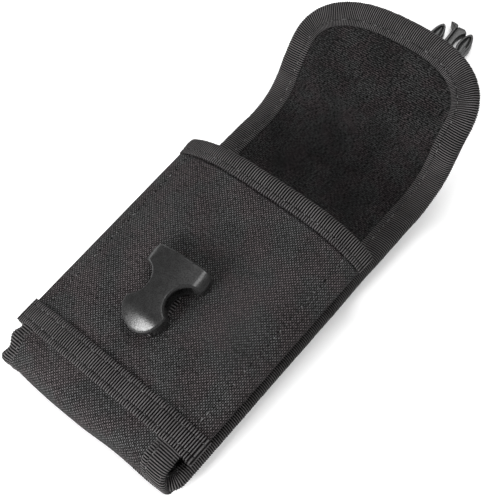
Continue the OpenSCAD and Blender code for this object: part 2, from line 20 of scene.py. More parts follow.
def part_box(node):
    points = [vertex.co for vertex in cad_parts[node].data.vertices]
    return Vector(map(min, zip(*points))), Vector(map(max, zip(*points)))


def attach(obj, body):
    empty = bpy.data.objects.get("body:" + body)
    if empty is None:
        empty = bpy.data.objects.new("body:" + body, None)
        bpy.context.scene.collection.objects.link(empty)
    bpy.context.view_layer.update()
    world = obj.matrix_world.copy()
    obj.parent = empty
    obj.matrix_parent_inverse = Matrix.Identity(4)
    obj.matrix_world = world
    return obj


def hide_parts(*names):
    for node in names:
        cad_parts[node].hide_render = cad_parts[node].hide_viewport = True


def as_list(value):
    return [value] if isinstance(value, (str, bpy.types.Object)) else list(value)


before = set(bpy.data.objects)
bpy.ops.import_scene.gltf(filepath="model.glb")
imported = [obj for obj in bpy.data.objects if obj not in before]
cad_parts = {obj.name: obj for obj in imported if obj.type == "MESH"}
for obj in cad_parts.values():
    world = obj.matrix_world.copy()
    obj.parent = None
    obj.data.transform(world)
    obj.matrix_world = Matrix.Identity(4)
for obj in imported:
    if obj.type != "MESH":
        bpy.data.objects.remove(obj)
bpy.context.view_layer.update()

log = logging.getLogger("pouch")

MM = 0.001
CLOTH_MAP = "cloth"
RIB_MAP = 1.15 * MM  # how much of the cloth map one rib takes
TINY = 1e-6
SEWING_ORIGIN = Vector((0.0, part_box("lower_tape")[0].y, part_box("back_shell")[0].z))

# Layers that several pieces share
CLOTH_T = 0.8 * MM  # the woven fabric
LINING_T = 0.6 * MM
PLY_GAP = 0.05 * MM  # between layers that are sewn together
SKIN = 0.75 * MM  # how far a tape's outer face stands over what it binds
SEAM_PITCH = 3.5 * MM

# The buckle
BUCKLE_X = -2.5 * MM
BAR_R = 1.4 * MM
RING_R = 2.7 * MM  # the outside of the webbing round a bar
SOCKET_Y = 27 * MM
SOCKET_PIVOT = Vector((0, 12 * MM, 0))  # the socket is turned about this point over its bar
SOCKET_ASKEW = math.radians(4.6)
CLIP_REACH = 118 * MM
CLIP_ASKEW = math.radians(6.2)
STANDING = Matrix(((0, 0, 1), (1, 0, 0), (0, 1, 0))).to_4x4()  # turns a plate's (x, y) to (y, z)

# The camera, fitted to the photo
CAMERA_AT = Vector((142.9, -122.2, 317.05)) * MM
CAMERA_RIGHT = Vector((0.7530, 0.6554, -0.0583))
CAMERA_BACK = Vector((0.3943, -0.3785, 0.8374))
CAMERA_LENS, CAMERA_SENSOR = 61.2, 36.0
AIM = Vector((0.0, 0.0, 0.02))

Place = Callable[[float, float], Vector]


class Body(Enum):
    """The rigid bodies that a piece can ride on."""

    POUCH = "pouch"
    SOCKET = "socket"
    CLIP = "clip"


class Slot(Enum):
    """The record's material slots."""

    WOVEN = "woven_fabric"
    TAPE = "ribbed_tape"
    LINING = "lining"
    FOAM = "foam"
    PLASTIC = "buckle_plastic"
    THREAD = "thread"


def sewn(x: float, y: float, z: float) -> Vector:
    """Moves a point of the sewing frame to the row frame."""
    return SEWING_ORIGIN + Vector((x, y, z))


def smooth(low: float, high: float, value: float) -> float:
    """Goes smoothly from 0 at low to 1 at high, whichever is the greater."""
    t = min(max((value - low) / (high - low), 0.0), 1.0)
    return t * t * (3 - 2 * t)


def table_at(table: Sequence[tuple[float, float]], value: float) -> float:
    """Reads a table of (key, value) pairs, with straight lines between them.

    Args:
        table: The pairs, with their keys rising.
        value: The key to read at. Past either end, the end's value holds.

    Returns:
        The value at that key.
    """
    if value <= table[0][0]:
        return table[0][1]
    for (a, low), (b, high) in zip(table, table[1:]):
        if value <= b:
            return low + (high - low) * (value - a) / (b - a)
    return table[-1][1]


def bezier(a: Vector, b: Vector, c: Vector, d: Vector, steps: int) -> list[Vector]:
    """Points along a cubic curve from a to d, with b and c as its handles.

    Args:
        a: The start.
        b: The first handle.
        c: The second handle.
        d: The end.
        steps: How many pieces it gets.

    Returns:
        The points, both ends included.
    """
    found = []
    for i in range(steps + 1):
        t, u = i / steps, 1 - i / steps
        found.append(u * u * u * a + 3 * u * u * t * b + 3 * u * t * t * c + t * t * t * d)
    return found


def rounded(points: Sequence[Sequence[float]], steps: int = 6) -> list[Vector]:
    """A smooth line through a few points.

    Args:
        points: The points, each (across, up).
        steps: How many pieces each stretch between two points gets.

    Returns:
        The line's points, both ends included.
    """
    knots = [Vector(p) for p in points]
    knots = [2 * knots[0] - knots[1], *knots, 2 * knots[-1] - knots[-2]]
    found = []
    for a, b, c, d in zip(knots, knots[1:], knots[2:], knots[3:]):
        for i in range(steps):
            t = i / steps
            found.append(0.5 * (2 * b + t * (c - a) + t * t * (2 * a - 5 * b + 4 * c - d)
                                + t * t * t * (3 * b - a - 3 * c + d)))
    return [*found, knots[-2]]


def arc(x: float, y: float, radius: float, degrees: Iterable[int]) -> list[tuple[float, float]]:
    """Points round a centre, at those angles in degrees.

    Args:
        x: The centre's x.
        y: The centre's y.
        radius: How far off the points are.
        degrees: The angles.

    Returns:
        The points.
    """
    return [(x + radius * math.cos(math.radians(a)), y + radius * math.sin(math.radians(a))) for a in degrees]


def in_metres(knots: Iterable[Sequence[float]], base: float = 0.0) -> list[tuple[float, ...]]:
    """A section's knots from mm to metres, their heights over a base. A share of the rib stays as it is."""
    return [(knot[0] * MM, base + knot[1] * MM, *knot[2:]) for knot in knots]


def object_of(bm: bmesh.types.BMesh, name: str,
              material: bpy.types.Material | None = None) -> bpy.types.Object:
    """Puts a bmesh into the scene as an object, and frees it.

    Args:
        bm: The mesh.
        name: The name of the object and its mesh.
        material: Its material, if it has one.

    Returns:
        The object.
    """
    mesh = bpy.data.meshes.new(name)
    bm.to_mesh(mesh)
    bm.free()
    if material:
        mesh.materials.append(material)
    made = bpy.data.objects.new(name, mesh)
    bpy.context.scene.collection.objects.link(made)
    return made


class Line:
    """A line in a plane that is read by its share of the length."""

    def __init__(self, points: Iterable[Sequence[float]]) -> None:
        """Measures the line and works out a normal at each point, to the left of its direction."""
        self.points = [Vector(p) for p in points]
        self.marks = [0.0]
        for a, b in zip(self.points, self.points[1:]):
            self.marks.append(self.marks[-1] + (b - a).length)
        self.normals = []
        for i in range(len(self.points)):
            run = self.points[min(i + 1, len(self.points) - 1)] - self.points[max(i - 1, 0)]
            self.normals.append(Vector((-run.y, run.x)).normalized())

    @property
    def length(self) -> float:
        """The whole length."""
        return self.marks[-1]

    def at(self, share: float) -> tuple[Vector, Vector]:
        """The point at a share of the length, and the normal there."""
        distance = min(max(share, 0.0), 1.0) * self.length
        i = min(bisect_right(self.marks, distance), len(self.points) - 1) - 1
        t = (distance - self.marks[i]) / max(self.marks[i + 1] - self.marks[i], TINY * TINY)
        return (self.points[i].lerp(self.points[i + 1], t),
                self.normals[i].lerp(self.normals[i + 1], t).normalized())

    def off(self, share: float, lift: float) -> Vector:
        """The point that stands off the line by lift, on its left."""
        point, normal = self.at(share)
        return point + normal * lift


# Finishes


class Graph:
    """Writes a material's nodes in few words."""

    def __init__(self, name: str) -> None:
        """Starts a material with one Principled shader and its output."""
        self.material = bpy.data.materials.new(name)
        self.material.use_nodes = True
        self.tree = self.material.node_tree
        self.shader = self.tree.nodes["Principled BSDF"]

    def node(self, kind: str, **settings: object) -> bpy.types.Node:
        """Adds a node and sets its own properties."""
        made = self.tree.nodes.new(kind)
        for key, value in settings.items():
            setattr(made, key, value)
        return made

    def put(self, socket: bpy.types.NodeSocket, value: object) -> None:
        """Links a socket into an input, or writes a number or colour there."""
        if isinstance(value, bpy.types.NodeSocket):
            self.tree.links.new(value, socket)
        else:
            socket.default_value = value

    def math(self, operation: str, a: object, b: object = 0.0, clamp: bool = False) -> bpy.types.NodeSocket:
        """One Math node."""
        made = self.node("ShaderNodeMath", operation=operation, use_clamp=clamp)
        self.put(made.inputs[0], a)
        self.put(made.inputs[1], b)
        return made.outputs[0]

    def product(self, first: object, *others: object, clamp: bool = False) -> bpy.types.NodeSocket:
        """Multiplies several values, the last product kept within 0 and 1 if asked."""
        for left, value in zip(range(len(others), 0, -1), others):
            first = self.math("MULTIPLY", first, value, clamp and left == 1)
        return first

    def wave(self, value: object, pitch: float) -> bpy.types.NodeSocket:
        """A sine that changes its sign once a pitch."""
        return self.math("SINE", self.math("MULTIPLY", value, math.pi / pitch))

    def ridges(self, value: object, pitch: float) -> bpy.types.NodeSocket:
        """Rounded ridges, one a pitch."""
        return self.math("ABSOLUTE", self.wave(value, pitch))

    def between(self, value: object, low: float, high: float, to_low: float = 0.0,
                to_high: float = 1.0) -> bpy.types.NodeSocket:
        """Maps a range of values smoothly to another."""
        made = self.node("ShaderNodeMapRange", interpolation_type="SMOOTHSTEP")
        for index, number in enumerate((value, low, high, to_low, to_high)):
            self.put(made.inputs[index], number)
        return made.outputs[0]

    def mix(self, share: object, a: object, b: object) -> bpy.types.NodeSocket:
        """Mixes two colours."""
        made = self.node("ShaderNodeMix", data_type="RGBA")
        self.put(made.inputs[0], share)
        self.put(made.inputs[6], a)
        self.put(made.inputs[7], b)
        return made.outputs[2]

    def noise(self, where: object, scale: float, detail: float = 2.0) -> bpy.types.NodeSocket:
        """Soft noise, as a value about 0.5."""
        made = self.node("ShaderNodeTexNoise")
        self.put(made.inputs["Vector"], where)
        made.inputs["Scale"].default_value = scale
        made.inputs["Detail"].default_value = detail
        return made.outputs[0]

    def stretched(self, where: object, scale: tuple[float, float, float],
                  turn: float = 0.0) -> bpy.types.NodeSocket:
        """Coordinates scaled by a different number each way, after a turn about Z."""
        made = self.node("ShaderNodeMapping")
        self.put(made.inputs["Vector"], where)
        made.inputs["Scale"].default_value = scale
        made.inputs["Rotation"].default_value = (0, 0, turn)
        return made.outputs[0]

    def cloth(self) -> bpy.types.NodeSocket:
        """The piece's own cloth map, in metres along and across the cloth."""
        return self.node("ShaderNodeUVMap", uv_map=CLOTH_MAP).outputs[0]

    def solid(self) -> bpy.types.NodeSocket:
        """Object coordinates, in metres."""
        return self.node("ShaderNodeTexCoord").outputs["Object"]

    def parts(self, where: object) -> tuple[bpy.types.NodeSocket, bpy.types.NodeSocket]:
        """The first two parts of a vector."""
        made = self.node("ShaderNodeSeparateXYZ")
        self.put(made.inputs[0], where)
        return made.outputs[0], made.outputs[1]

    def bump(self, height: object, distance: float, strength: float = 1.0, under: object = None) -> object:
        """Adds a bump of that height in metres, over another if one is given."""
        made = self.node("ShaderNodeBump")
        made.inputs["Strength"].default_value = strength
        made.inputs["Distance"].default_value = distance
        self.put(made.inputs["Height"], height)
        if under is not None:
            self.put(made.inputs["Normal"], under)
        return made.outputs[0]

    def finish(self, colour: object, roughness: object, normal: object = None, sheen: float = 0.0,
               specular: float = 0.5) -> bpy.types.Material:
        """Sets the shader's inputs.

        Args:
            colour: The base colour, or the socket that gives it.
            roughness: The roughness, or the socket that gives it.
            normal: The bump that it ends in.
            sheen: The weight of the sheen of loose fibres.
            specular: The shader's specular level.

        Returns:
            The material.
        """
        self.put(self.shader.inputs["Base Color"], colour)
        self.put(self.shader.inputs["Roughness"], roughness)
        if normal is not None:
            self.put(self.shader.inputs["Normal"], normal)
        self.shader.inputs["Sheen Weight"].default_value = sheen
        self.shader.inputs["Sheen Roughness"].default_value = 0.5
        self.shader.inputs["Specular IOR Level"].default_value = specular
        return self.material


def grey(level: float, warm: float = 0.0) -> tuple[float, float, float, float]:
    """A grey as a shader takes it, warmer or cooler by a share."""
    return (level * (1 + warm), level * (1 - abs(warm) * 0.6), level * (1 - warm * 0.3), 1.0)


@dataclass(frozen=True)
class Weave:
    """Plain woven fabric of thick thread."""

    name: str
    pitch: float = 0.72 * MM
    thread: float = 0.128
    # The colour of the painted shade in the gaps between threads.
    gap_shade: float = 0.001
    relief: float = 0.22 * MM

    def material(self) -> bpy.types.Material:
        """Threads over and under each other, with uneven dye, a few bright fibres, painted shade in the gaps
        between threads and painted highlight on their crowns.
        """
        g = Graph(self.name)
        where = g.cloth()
        sway = g.math("MULTIPLY", g.math("SUBTRACT", g.noise(where, 90.0), 0.5), 0.9 * self.pitch)
        u, v = g.parts(where)
        wave_u = g.wave(g.math("ADD", u, sway), self.pitch)
        cross = g.math("MULTIPLY", wave_u, g.wave(g.math("ADD", v, sway), self.pitch))
        height = g.math("POWER", g.math("ABSOLUTE", cross), 0.7)
        over = g.between(cross, -0.12, 0.12)
        uneven = g.noise(where, 55.0, 4.0)
        each = g.noise(g.stretched(where, (1500, 800, 1)), 1.0, 1.0)
        column = g.math("POWER", g.math("ABSOLUTE", wave_u), 0.8)
        # Painted shade and highlight: the tone falls with each thread's height and between columns, so the gaps
        # go to the shade colour and the crowns are painted lighter.
        tone = g.product(height, column, g.between(uneven, 0.3, 0.7, 0.82, 1.15),
                         g.between(each, 0.32, 0.68, 0.45, 1.6), g.between(over, 0.0, 1.0, 0.30, 1.15))
        hue = g.mix(g.between(g.noise(where, 70.0), 0.40, 0.60), grey(self.thread, -0.01),
                    grey(self.thread, 0.08))
        colour = g.mix(tone, grey(self.gap_shade, 0.05), hue)
        normal = g.bump(height, self.relief, 0.9)
        return g.finish(colour, g.between(height, 0.0, 1.0, 0.95, 0.6), normal, specular=0.06)


@dataclass(frozen=True)
class RibbedTape:
    """Grosgrain tape. Its ribs are in the mesh; the threads that cross them and the painted shade in the
    valleys between ribs are here.
    """

    name: str
    thread: float = 0.138
    # The colour of the painted shade in the valleys between ribs.
    gap_shade: float = 0.001
    cross_pitch: float = 0.42 * MM

    def material(self) -> bpy.types.Material:
        """Rib tops painted light, valleys painted with shade, and the fine threads over each rib with painted
        shade between them.
        """
        g = Graph(self.name)
        where = g.cloth()
        along, across = g.parts(where)
        rib, fine = g.ridges(along, RIB_MAP), g.ridges(across, self.cross_pitch)
        fibre = g.noise(g.stretched(where, (5200, 2600, 1)), 1.0)
        uneven = g.noise(where, 70.0, 3.0)
        # Painted shade and highlight: the tone falls steeply into each valley between ribs and between the fine
        # threads, and the rib tops are painted light.
        tone = g.product(g.math("POWER", rib, 4.6), g.between(fine, 0.0, 1.0, 0.62, 1.0),
                         g.between(fibre, 0.25, 0.75, 0.7, 1.25), g.between(uneven, 0.3, 0.7, 0.82, 1.15),
                         clamp=True)
        colour = g.mix(tone, grey(self.gap_shade), grey(self.thread, 0.03))
        normal = g.bump(g.math("MULTIPLY", rib, fine), 0.07 * MM, 0.8)
        return g.finish(colour, 0.6, normal, specular=0.06)


@dataclass(frozen=True)
class Pile:
    """Short looped pile of the linings."""

    name: str
    loop: float = 0.050
    # The colour of the painted shade deep in the pile.
    deep: float = 0.001
    row: float = 0.8 * MM

    def material(self) -> bpy.types.Material:
        """Short fuzzy loops in rows across the cloth, with painted shade deep among the loops and between the
        rows.
        """
        g = Graph(self.name)
        where = g.cloth()
        up = g.parts(where)[1]
        sway = g.math("MULTIPLY", g.noise(where, 110.0), 0.9 * self.row)
        rows = g.ridges(g.math("ADD", up, sway), self.row)
        loops = g.noise(g.stretched(where, (930, 2300, 1), math.radians(3)), 1.0, 3.0)
        fuzz = g.noise(where, 2600.0)
        patch = g.noise(where, 60.0, 3.0)
        # Painted shade: the colour falls towards the deep shade colour among the loops and between the rows.
        tone = g.product(g.between(loops, 0.36, 0.66), g.between(fuzz, 0.2, 0.8, 0.7, 1.2),
                         g.between(rows, 0.15, 0.9, 0.12, 1.05), g.between(patch, 0.3, 0.7, 0.7, 1.2),
                         clamp=True)
        hue = g.mix(g.between(g.noise(where, 110.0), 0.42, 0.62), grey(self.loop), grey(self.loop, 0.10))
        colour = g.mix(tone, grey(self.deep), hue)
        normal = g.bump(fuzz, 0.12 * MM, 0.7, g.bump(loops, 0.30 * MM, 0.9))
        return g.finish(colour, 0.95, normal, sheen=0.04, specular=0.06)


@dataclass(frozen=True)
class Foam:
    """Closed foam between the layers."""

    name: str

    def material(self) -> bpy.types.Material:
        """Small cells."""
        g = Graph(self.name)
        cells = g.noise(g.solid(), 1800.0, 3.0)
        colour = g.mix(g.between(cells, 0.3, 0.7), grey(0.05), grey(0.09))
        return g.finish(colour, 0.9, g.bump(cells, 0.1 * MM, 0.6))


@dataclass(frozen=True)
class Moulded:
    """Moulded plastic with a fine spark-eroded grain."""

    name: str
    level: float = 0.016
    roughness: float = 0.27

    def material(self) -> bpy.types.Material:
        """Mottled grey with a soft gloss."""
        g = Graph(self.name)
        where = g.solid()
        grain = g.noise(where, 2300.0, 3.0)
        patch = g.noise(where, 420.0, 4.0)
        colour = g.mix(g.between(patch, 0.3, 0.7), grey(self.level * 0.8), grey(self.level * 1.2))
        rough = g.between(grain, 0.3, 0.7, self.roughness - 0.06, self.roughness + 0.1)
        return g.finish(colour, rough, g.bump(grain, 0.05 * MM, 0.55))


@dataclass(frozen=True)
class Thread:
    """Twisted sewing thread."""

    name: str
    dark: float = 0.001
    light: float = 0.16

    def material(self) -> bpy.types.Material:
        """Dark thread, pale where its strands catch the light."""
        g = Graph(self.name)
        strands = g.noise(g.solid(), 950.0, 1.0)
        colour = g.mix(g.between(strands, 0.46, 0.62), grey(self.dark), grey(self.light))
        return g.finish(colour, 0.7, g.bump(strands, 0.05 * MM, 0.6), specular=0.1)


class Finishes:
    """The materials of the whole pouch, each made once."""

    def __init__(self) -> None:
        """Makes every material."""
        self.made = {
            Slot.WOVEN: Weave("woven_fabric").material(),
            Slot.TAPE: RibbedTape("ribbed_tape").material(),
            Slot.LINING: Pile("pile_lining").material(),
            Slot.FOAM: Foam("foam").material(),
            Slot.PLASTIC: Moulded("moulded_plastic").material(),
            Slot.THREAD: Thread("sewing_thread").material(),
        }

    def dress(self, bm: bmesh.types.BMesh, name: str, slot: Slot, replaces: Sequence[str] = (),
              body: Body = Body.POUCH, crease: float = 50.0) -> bpy.types.Object:
        """Makes a finished piece of a bmesh.

        Args:
            bm: The mesh, in the row frame. It is freed.
            name: The piece's name.
            slot: The record's slot, which also gives the finish.
            replaces: The CAD nodes that it stands for.
            body: The body that the piece rides on.
            crease: The angle in degrees past which an edge stays sharp.

        Returns:
            The new object.
        """
        for face in bm.faces:
            face.smooth = True
        for edge in bm.edges:
            edge.smooth = edge.calc_face_angle(0.0) < math.radians(crease)
        piece = object_of(bm, name, self.made[slot])
        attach(piece, body.value)
        if replaces:
            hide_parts(*replaces)
        log.info("%s: %d faces", name, len(piece.data.polygons))
        return piece


# Ways to make cloth


def grid(columns: int, rows: int) -> bmesh.types.BMesh:
    """A flat grid from 0 to 1 both ways, with its cloth map in the same numbers."""
    bm = bmesh.new()
    bm.loops.layers.uv.new(CLOTH_MAP)
    bmesh.ops.create_grid(bm, x_segments=columns, y_segments=rows, size=0.5)
    bmesh.ops.translate(bm, verts=bm.verts, vec=(0.5, 0.5, 0))
    return bm


def panel(columns: int, rows: int, place: Place, flat: Place, thickness: float) -> bmesh.types.BMesh:
    """A panel of cloth, its outer face laid over a surface.

    Args:
        columns: Faces across.
        rows: Faces along.
        place: Gives the outer face's point for shares across and along.
        flat: Gives the same point on the flat cloth, in metres.
        thickness: The cloth's thickness, under the outer face.

    Returns:
        The panel as a closed shell.
    """
    bm = grid(columns, rows)
    uv = bm.loops.layers.uv[CLOTH_MAP]
    for face in bm.faces:
        for loop in face.loops:
            loop[uv].uv = flat(loop.vert.co.x, loop.vert.co.y)[0:2]
    for vert in bm.verts:
        vert.co = place(vert.co.x, vert.co.y)
    bmesh.ops.remove_doubles(bm, verts=bm.verts, dist=TINY)
    bmesh.ops.dissolve_degenerate(bm, edges=bm.edges, dist=TINY)
    bmesh.ops.solidify(bm, geom=bm.faces[:], thickness=thickness)
    return bm


@dataclass(frozen=True)
class Tape:
    """Ribbed tape, whose ribs cross its width."""

    thickness: float = 0.55 * MM
    pitch: float = 1.15 * MM
    rib: float = 0.36 * MM
    steps: int = 4
    unevenness: float = 0.35

    def ribs(self, length: float) -> int:
        """How many whole ribs a length takes."""
        return max(2, round(length / self.pitch))

    def height(self, ring: int) -> float:
        """The rib's height at a ring of points, a little different from rib to rib."""
        each = 1 + self.unevenness * noise.noise(Vector((ring / self.steps * 0.7, 3.1, 0.4)))
        return self.rib * each * abs(math.sin(math.pi * ring / self.steps))

    def strip(self, ribs: int, section: "Section", place: Callable[[float, float, float], Vector],
              closed: bool = False) -> bmesh.types.BMesh:
        """Lays the tape along a seam.

        Args:
            ribs: How many ribs it has.
            section: The tape's section across its width.
            place: Gives the point for a share along, a place across and a height over the seam.
            closed: Whether it runs round to its own start.

        Returns:
            The tape as a closed mesh.
        """
        rings, around = ribs * self.steps, len(section.points)
        bm = grid(rings, around)
        uv = bm.loops.layers.uv[CLOTH_MAP]
        for face in bm.faces:
            for loop in face.loops:
                i, j = round(loop.vert.co.x * rings), round(loop.vert.co.y * around)
                loop[uv].uv = (i * RIB_MAP / self.steps, section.marks[j])
        for vert in bm.verts:
            i, j = round(vert.co.x * rings), round(vert.co.y * around) % around
            (across, lift), (n_across, n_lift), share = section.points[j]
            rise = share * self.height(i)
            vert.co = place(i / rings, across + n_across * rise, lift + n_lift * rise)
        bmesh.ops.remove_doubles(bm, verts=bm.verts, dist=TINY)
        if not closed:
            bmesh.ops.holes_fill(bm, edges=[e for e in bm.edges if e.is_boundary], sides=0)
        bmesh.ops.recalc_face_normals(bm, faces=bm.faces)
        return bm


class Section:
    """A tape's section: its outer face out and its inner face back, each point with its share of the rib."""

    def __init__(self, outer: Sequence[Sequence[float]], thickness: float, steps: int = 2,
                 back: int = 8, side: float = 1.0, under: float = 0.0) -> None:
        """Works out the points.

        Args:
            outer: Knots of the outer face, each (across, height) or (across, height, share of the rib).
            thickness: The tape's thickness.
            steps: How many pieces each stretch between two knots gets.
            back: How many points the inner face gets.
            side: 1 if the outer face is on the left of the line, or -1.
            under: The share of the rib's height on the inner face.
        """
        knots = [(*knot, 1.0)[0:3] for knot in outer]
        smoothed = rounded(knots, steps)
        line = Line([p.to_2d() for p in smoothed])
        self.points = []
        for i, (point, normal) in enumerate(zip(line.points, line.normals)):
            share = min(smoothed[i].z, 0.35 if i in (0, len(smoothed) - 1) else 1.2)
            self.points.append(((point.x, point.y), (normal.x * side, normal.y * side), share))
        for i in range(back):
            point, normal = line.at(1 - i / (back - 1))
            point = point - normal * side * thickness
            self.points.append(((point.x, point.y), (-normal.x * side, -normal.y * side), under))
        self.marks = [0.0]
        for i in range(len(self.points)):
            a, b = Vector(self.points[i][0]), Vector(self.points[(i + 1) % len(self.points)][0])
            self.marks.append(self.marks[-1] + (b - a).length)


def sewn_down(across: float, height: float, deep: float = 0.45,
              half: float = 0.42) -> list[tuple[float, ...]]:
    """Three knots of a tape's section, in mm, where a row of stitches pulls it down."""
    return [(across - half, height), (across, height - deep, 0.25), (across + half, height)]


@dataclass
class Stitching:
    """Rows of lock stitches in thick thread, gathered into one piece."""

    pitch: float = SEAM_PITCH
    stitch: float = 2.3 * MM
    thread: float = 0.6 * MM
    bm: bmesh.types.BMesh = field(default_factory=bmesh.new)

    def lay(self, centre: Vector, axes: Sequence[Vector], halves: Sequence[float]) -> None:
        """Lays one short thread, with a half size along each of its three axes."""
        turn = Matrix(axes).transposed().to_4x4()
        bmesh.ops.create_uvsphere(self.bm, u_segments=6, v_segments=4, radius=1.0,
                                  matrix=Matrix.Translation(centre) @ turn @ Matrix.Diagonal((*halves, 1)))

    def row(self, length: float, path: Callable[[float, float], Vector]) -> None:
        """Sews one row.

        Args:
            length: The row's length.
            path: Gives the point for a share of the row and a height over the cloth.
        """
        count = max(1, round(length / self.pitch))
        for k in range(count):
            share = (k + 0.5) / count
            reach = 0.2 / count
            centre = path(share, 0.0)
            run = (path(share + reach, 0.0) - path(share - reach, 0.0)).normalized()
            up = (path(share, 0.1 * MM) - centre).normalized()
            side = up.cross(run).normalized()
            self.lay(centre, (run, side, run.cross(side)),
                     (self.stitch / 2, self.thread / 2, self.thread / 2))

    def bar(self, start: Vector, end: Vector, up: Vector, width: float) -> None:
        """Sews a bar tack: short threads side by side from start to end."""
        run = (end - start).normalized()
        side = up.cross(run).normalized()
        count = max(2, round((end - start).length / (0.8 * self.thread)))
        for k in range(count):
            self.lay(start.lerp(end, (k + 0.5) / count), (side, run, side.cross(run)),
                     (width / 2, 0.55 * self.thread, 0.5 * self.thread))


# The pouch


@dataclass
class BackSheet:
    """The long padded sheet of back panel and flap, bound all round with ribbed tape."""

    half: float = 46.2 * MM
    mouth_y: float = 107.9 * MM
    low: float = -120.3 * MM
    corner_r: float = 8 * MM
    flap: float = 109.9 * MM
    end_round: float = 30 * MM
    square: float = 2.5
    bend_start: float = -12 * MM
    bend_step: float = 2 * MM
    thickness: float = 3.0 * MM
    leg: float = 9.8 * MM
    short_leg: float = 4.8 * MM
    seam_in: float = 7.3 * MM
    inset: float = 0.3 * MM
    puff: float = 0.55 * MM
    slopes: tuple = ((-12 * MM, 0.0), (8 * MM, 4.6), (33 * MM, 4.6), (67 * MM, 63.0), (108.8 * MM, 25.0))
    lean: tuple = ((-120 * MM, 1.5 * MM), (-60 * MM, 0.5 * MM), (-20 * MM, 0.0), (0.0, -0.6 * MM),
                   (30 * MM, -0.4 * MM), (55 * MM, 0.8 * MM), (110 * MM, 1.9 * MM))
    spread: float = 0.011

    def __post_init__(self) -> None:
        """Adds up the sheet's bends, and draws its outline."""
        s, y, z = self.bend_start, self.mouth_y + self.bend_start, 0.0
        path = []
        while s <= self.flap + 2 * self.bend_step:
            path.append((s, y, z))
            a = math.radians(self.slope(s + self.bend_step / 2))
            s, y, z = s + self.bend_step, y + self.bend_step * math.cos(a), z + self.bend_step * math.sin(a)
        self.along_y = [(p[0], p[1]) for p in path]
        self.along_z = [(p[0], p[2]) for p in path]
        right = self.right_side()
        left = [(-x, s) for x, s in reversed(right)]
        self.rim_line = Line([(0.0, self.low), *right, *left[1:], (0.0, self.low)])

    def slope(self, s: float) -> float:
        """The sheet's slope in degrees at a distance along it."""
        return table_at(self.slopes, s)

    def right_side(self) -> list[tuple[float, float]]:
        """The outline's right half as (x, s), from the bottom round to the flap's far edge."""
        found = []
        for a in range(0, 91, 9):
            found.append((self.half - self.corner_r * (1 - math.sin(math.radians(a))),
                          self.low + self.corner_r * (1 - math.cos(math.radians(a)))))
        start, stop = self.low + self.corner_r, self.flap - self.end_round
        steps = 60
        found += [(self.half, start + (stop - start) * i / steps) for i in range(1, steps)]
        steps = 48
        for i in range(steps + 1):
            a = math.pi / 2 * i / steps
            found.append((self.half * max(math.cos(a), 0.0) ** (2 / self.square),
                          stop + self.end_round * math.sin(a) ** (2 / self.square)))
        return found

    def at(self, x: float, s: float, lift: float) -> Vector:
        """The point at x and s, at a height over the sheet's outer face."""
        a = math.radians(self.slope(s))
        y = s + self.mouth_y if s < self.bend_start else table_at(self.along_y, s)
        z = 0.0 if s < self.bend_start else table_at(self.along_z, s)
        wide = 1 + self.spread * smooth(-10 * MM, 20 * MM, s) * smooth(85 * MM, 50 * MM, s)
        return sewn(x * wide + table_at(self.lean, s), y - lift * math.sin(a), z + lift * math.cos(a))

    def edge_x(self, s: float) -> float:
        """Half of the sheet's width at a distance along it.

        Args:
            s: The distance from the mouth.

        Returns:
            Half of the width.
        """
        start, stop = self.low + self.corner_r, self.flap - self.end_round
        if s < start:
            return self.half - self.corner_r + math.sqrt(self.corner_r ** 2 - (start - s) ** 2)
        past = max(s - stop, 0.0) / self.end_round
        return self.half * (1 - past ** self.square) ** (1 / self.square)

    def depth_in(self, x: float, s: float) -> float:
        """About how far a point is inside the outline.

        Args:
            x: The place across.
            s: The distance from the mouth.

        Returns:
            The lesser of the side's and the end's depth.
        """
        start = self.flap - self.end_round
        side = self.half - abs(x)
        top = start + self.end_round * max(1 - abs(x / self.half) ** self.square, 0) ** (1 / self.square) - s
        return min(side, top)

    def layer(self, top: float, thickness: float, puff: float = 0.0) -> bmesh.types.BMesh:
        """One layer of the sheet, inside the binding's fold.

        Args:
            top: The height of the layer's upper face.
            thickness: The layer's thickness.
            puff: How far its middle stands proud of its bound edges.

        Returns:
            The layer.
        """
        low, span = self.low + self.inset, self.flap - self.low - 2 * self.inset

        def spot(u: float, v: float) -> tuple[float, float]:
            s = low + span * (v - 0.9 * math.sin(2 * math.pi * v) / (2 * math.pi))
            return (2 * u - 1) * (self.edge_x(s) - self.inset), s

        def place(u: float, v: float) -> Vector:
            x, s = spot(u, v)
            rise = puff * smooth(self.leg - 1.5 * MM, self.leg + 6 * MM, self.depth_in(x, s))
            rise *= smooth(2 * MM, 16 * MM, s)
            rise += 0.3 * puff * noise.noise(Vector((x, s, 0)) * 60) if puff else 0
            return self.at(x, s, top + rise)

        def flat(u: float, v: float) -> Vector:
            x, s = spot(u, v)
            return Vector((x, s, 0))

        return panel(40, 150, place, flat, thickness)

    def leg_at(self, s: float) -> float:
        """The binding's width on the lining, narrower beside the side walls."""
        return self.short_leg + (self.leg - self.short_leg) * smooth(0, 12 * MM, s)

    def rim_point(self, share: float, across: float, lift: float) -> Vector:
        """The point beside the rim, across it outwards, over the outer face.

        Args:
            share: The share of the rim's length.
            across: How far outside the rim.
            lift: The height.

        Returns:
            The point.
        """
        point, normal = self.rim_line.at(share)
        if lift > self.thickness / 2 and across < 0:
            across *= self.leg_at(point.y) / self.leg
        return self.at(point.x - normal.x * across, point.y - normal.y * across, lift)

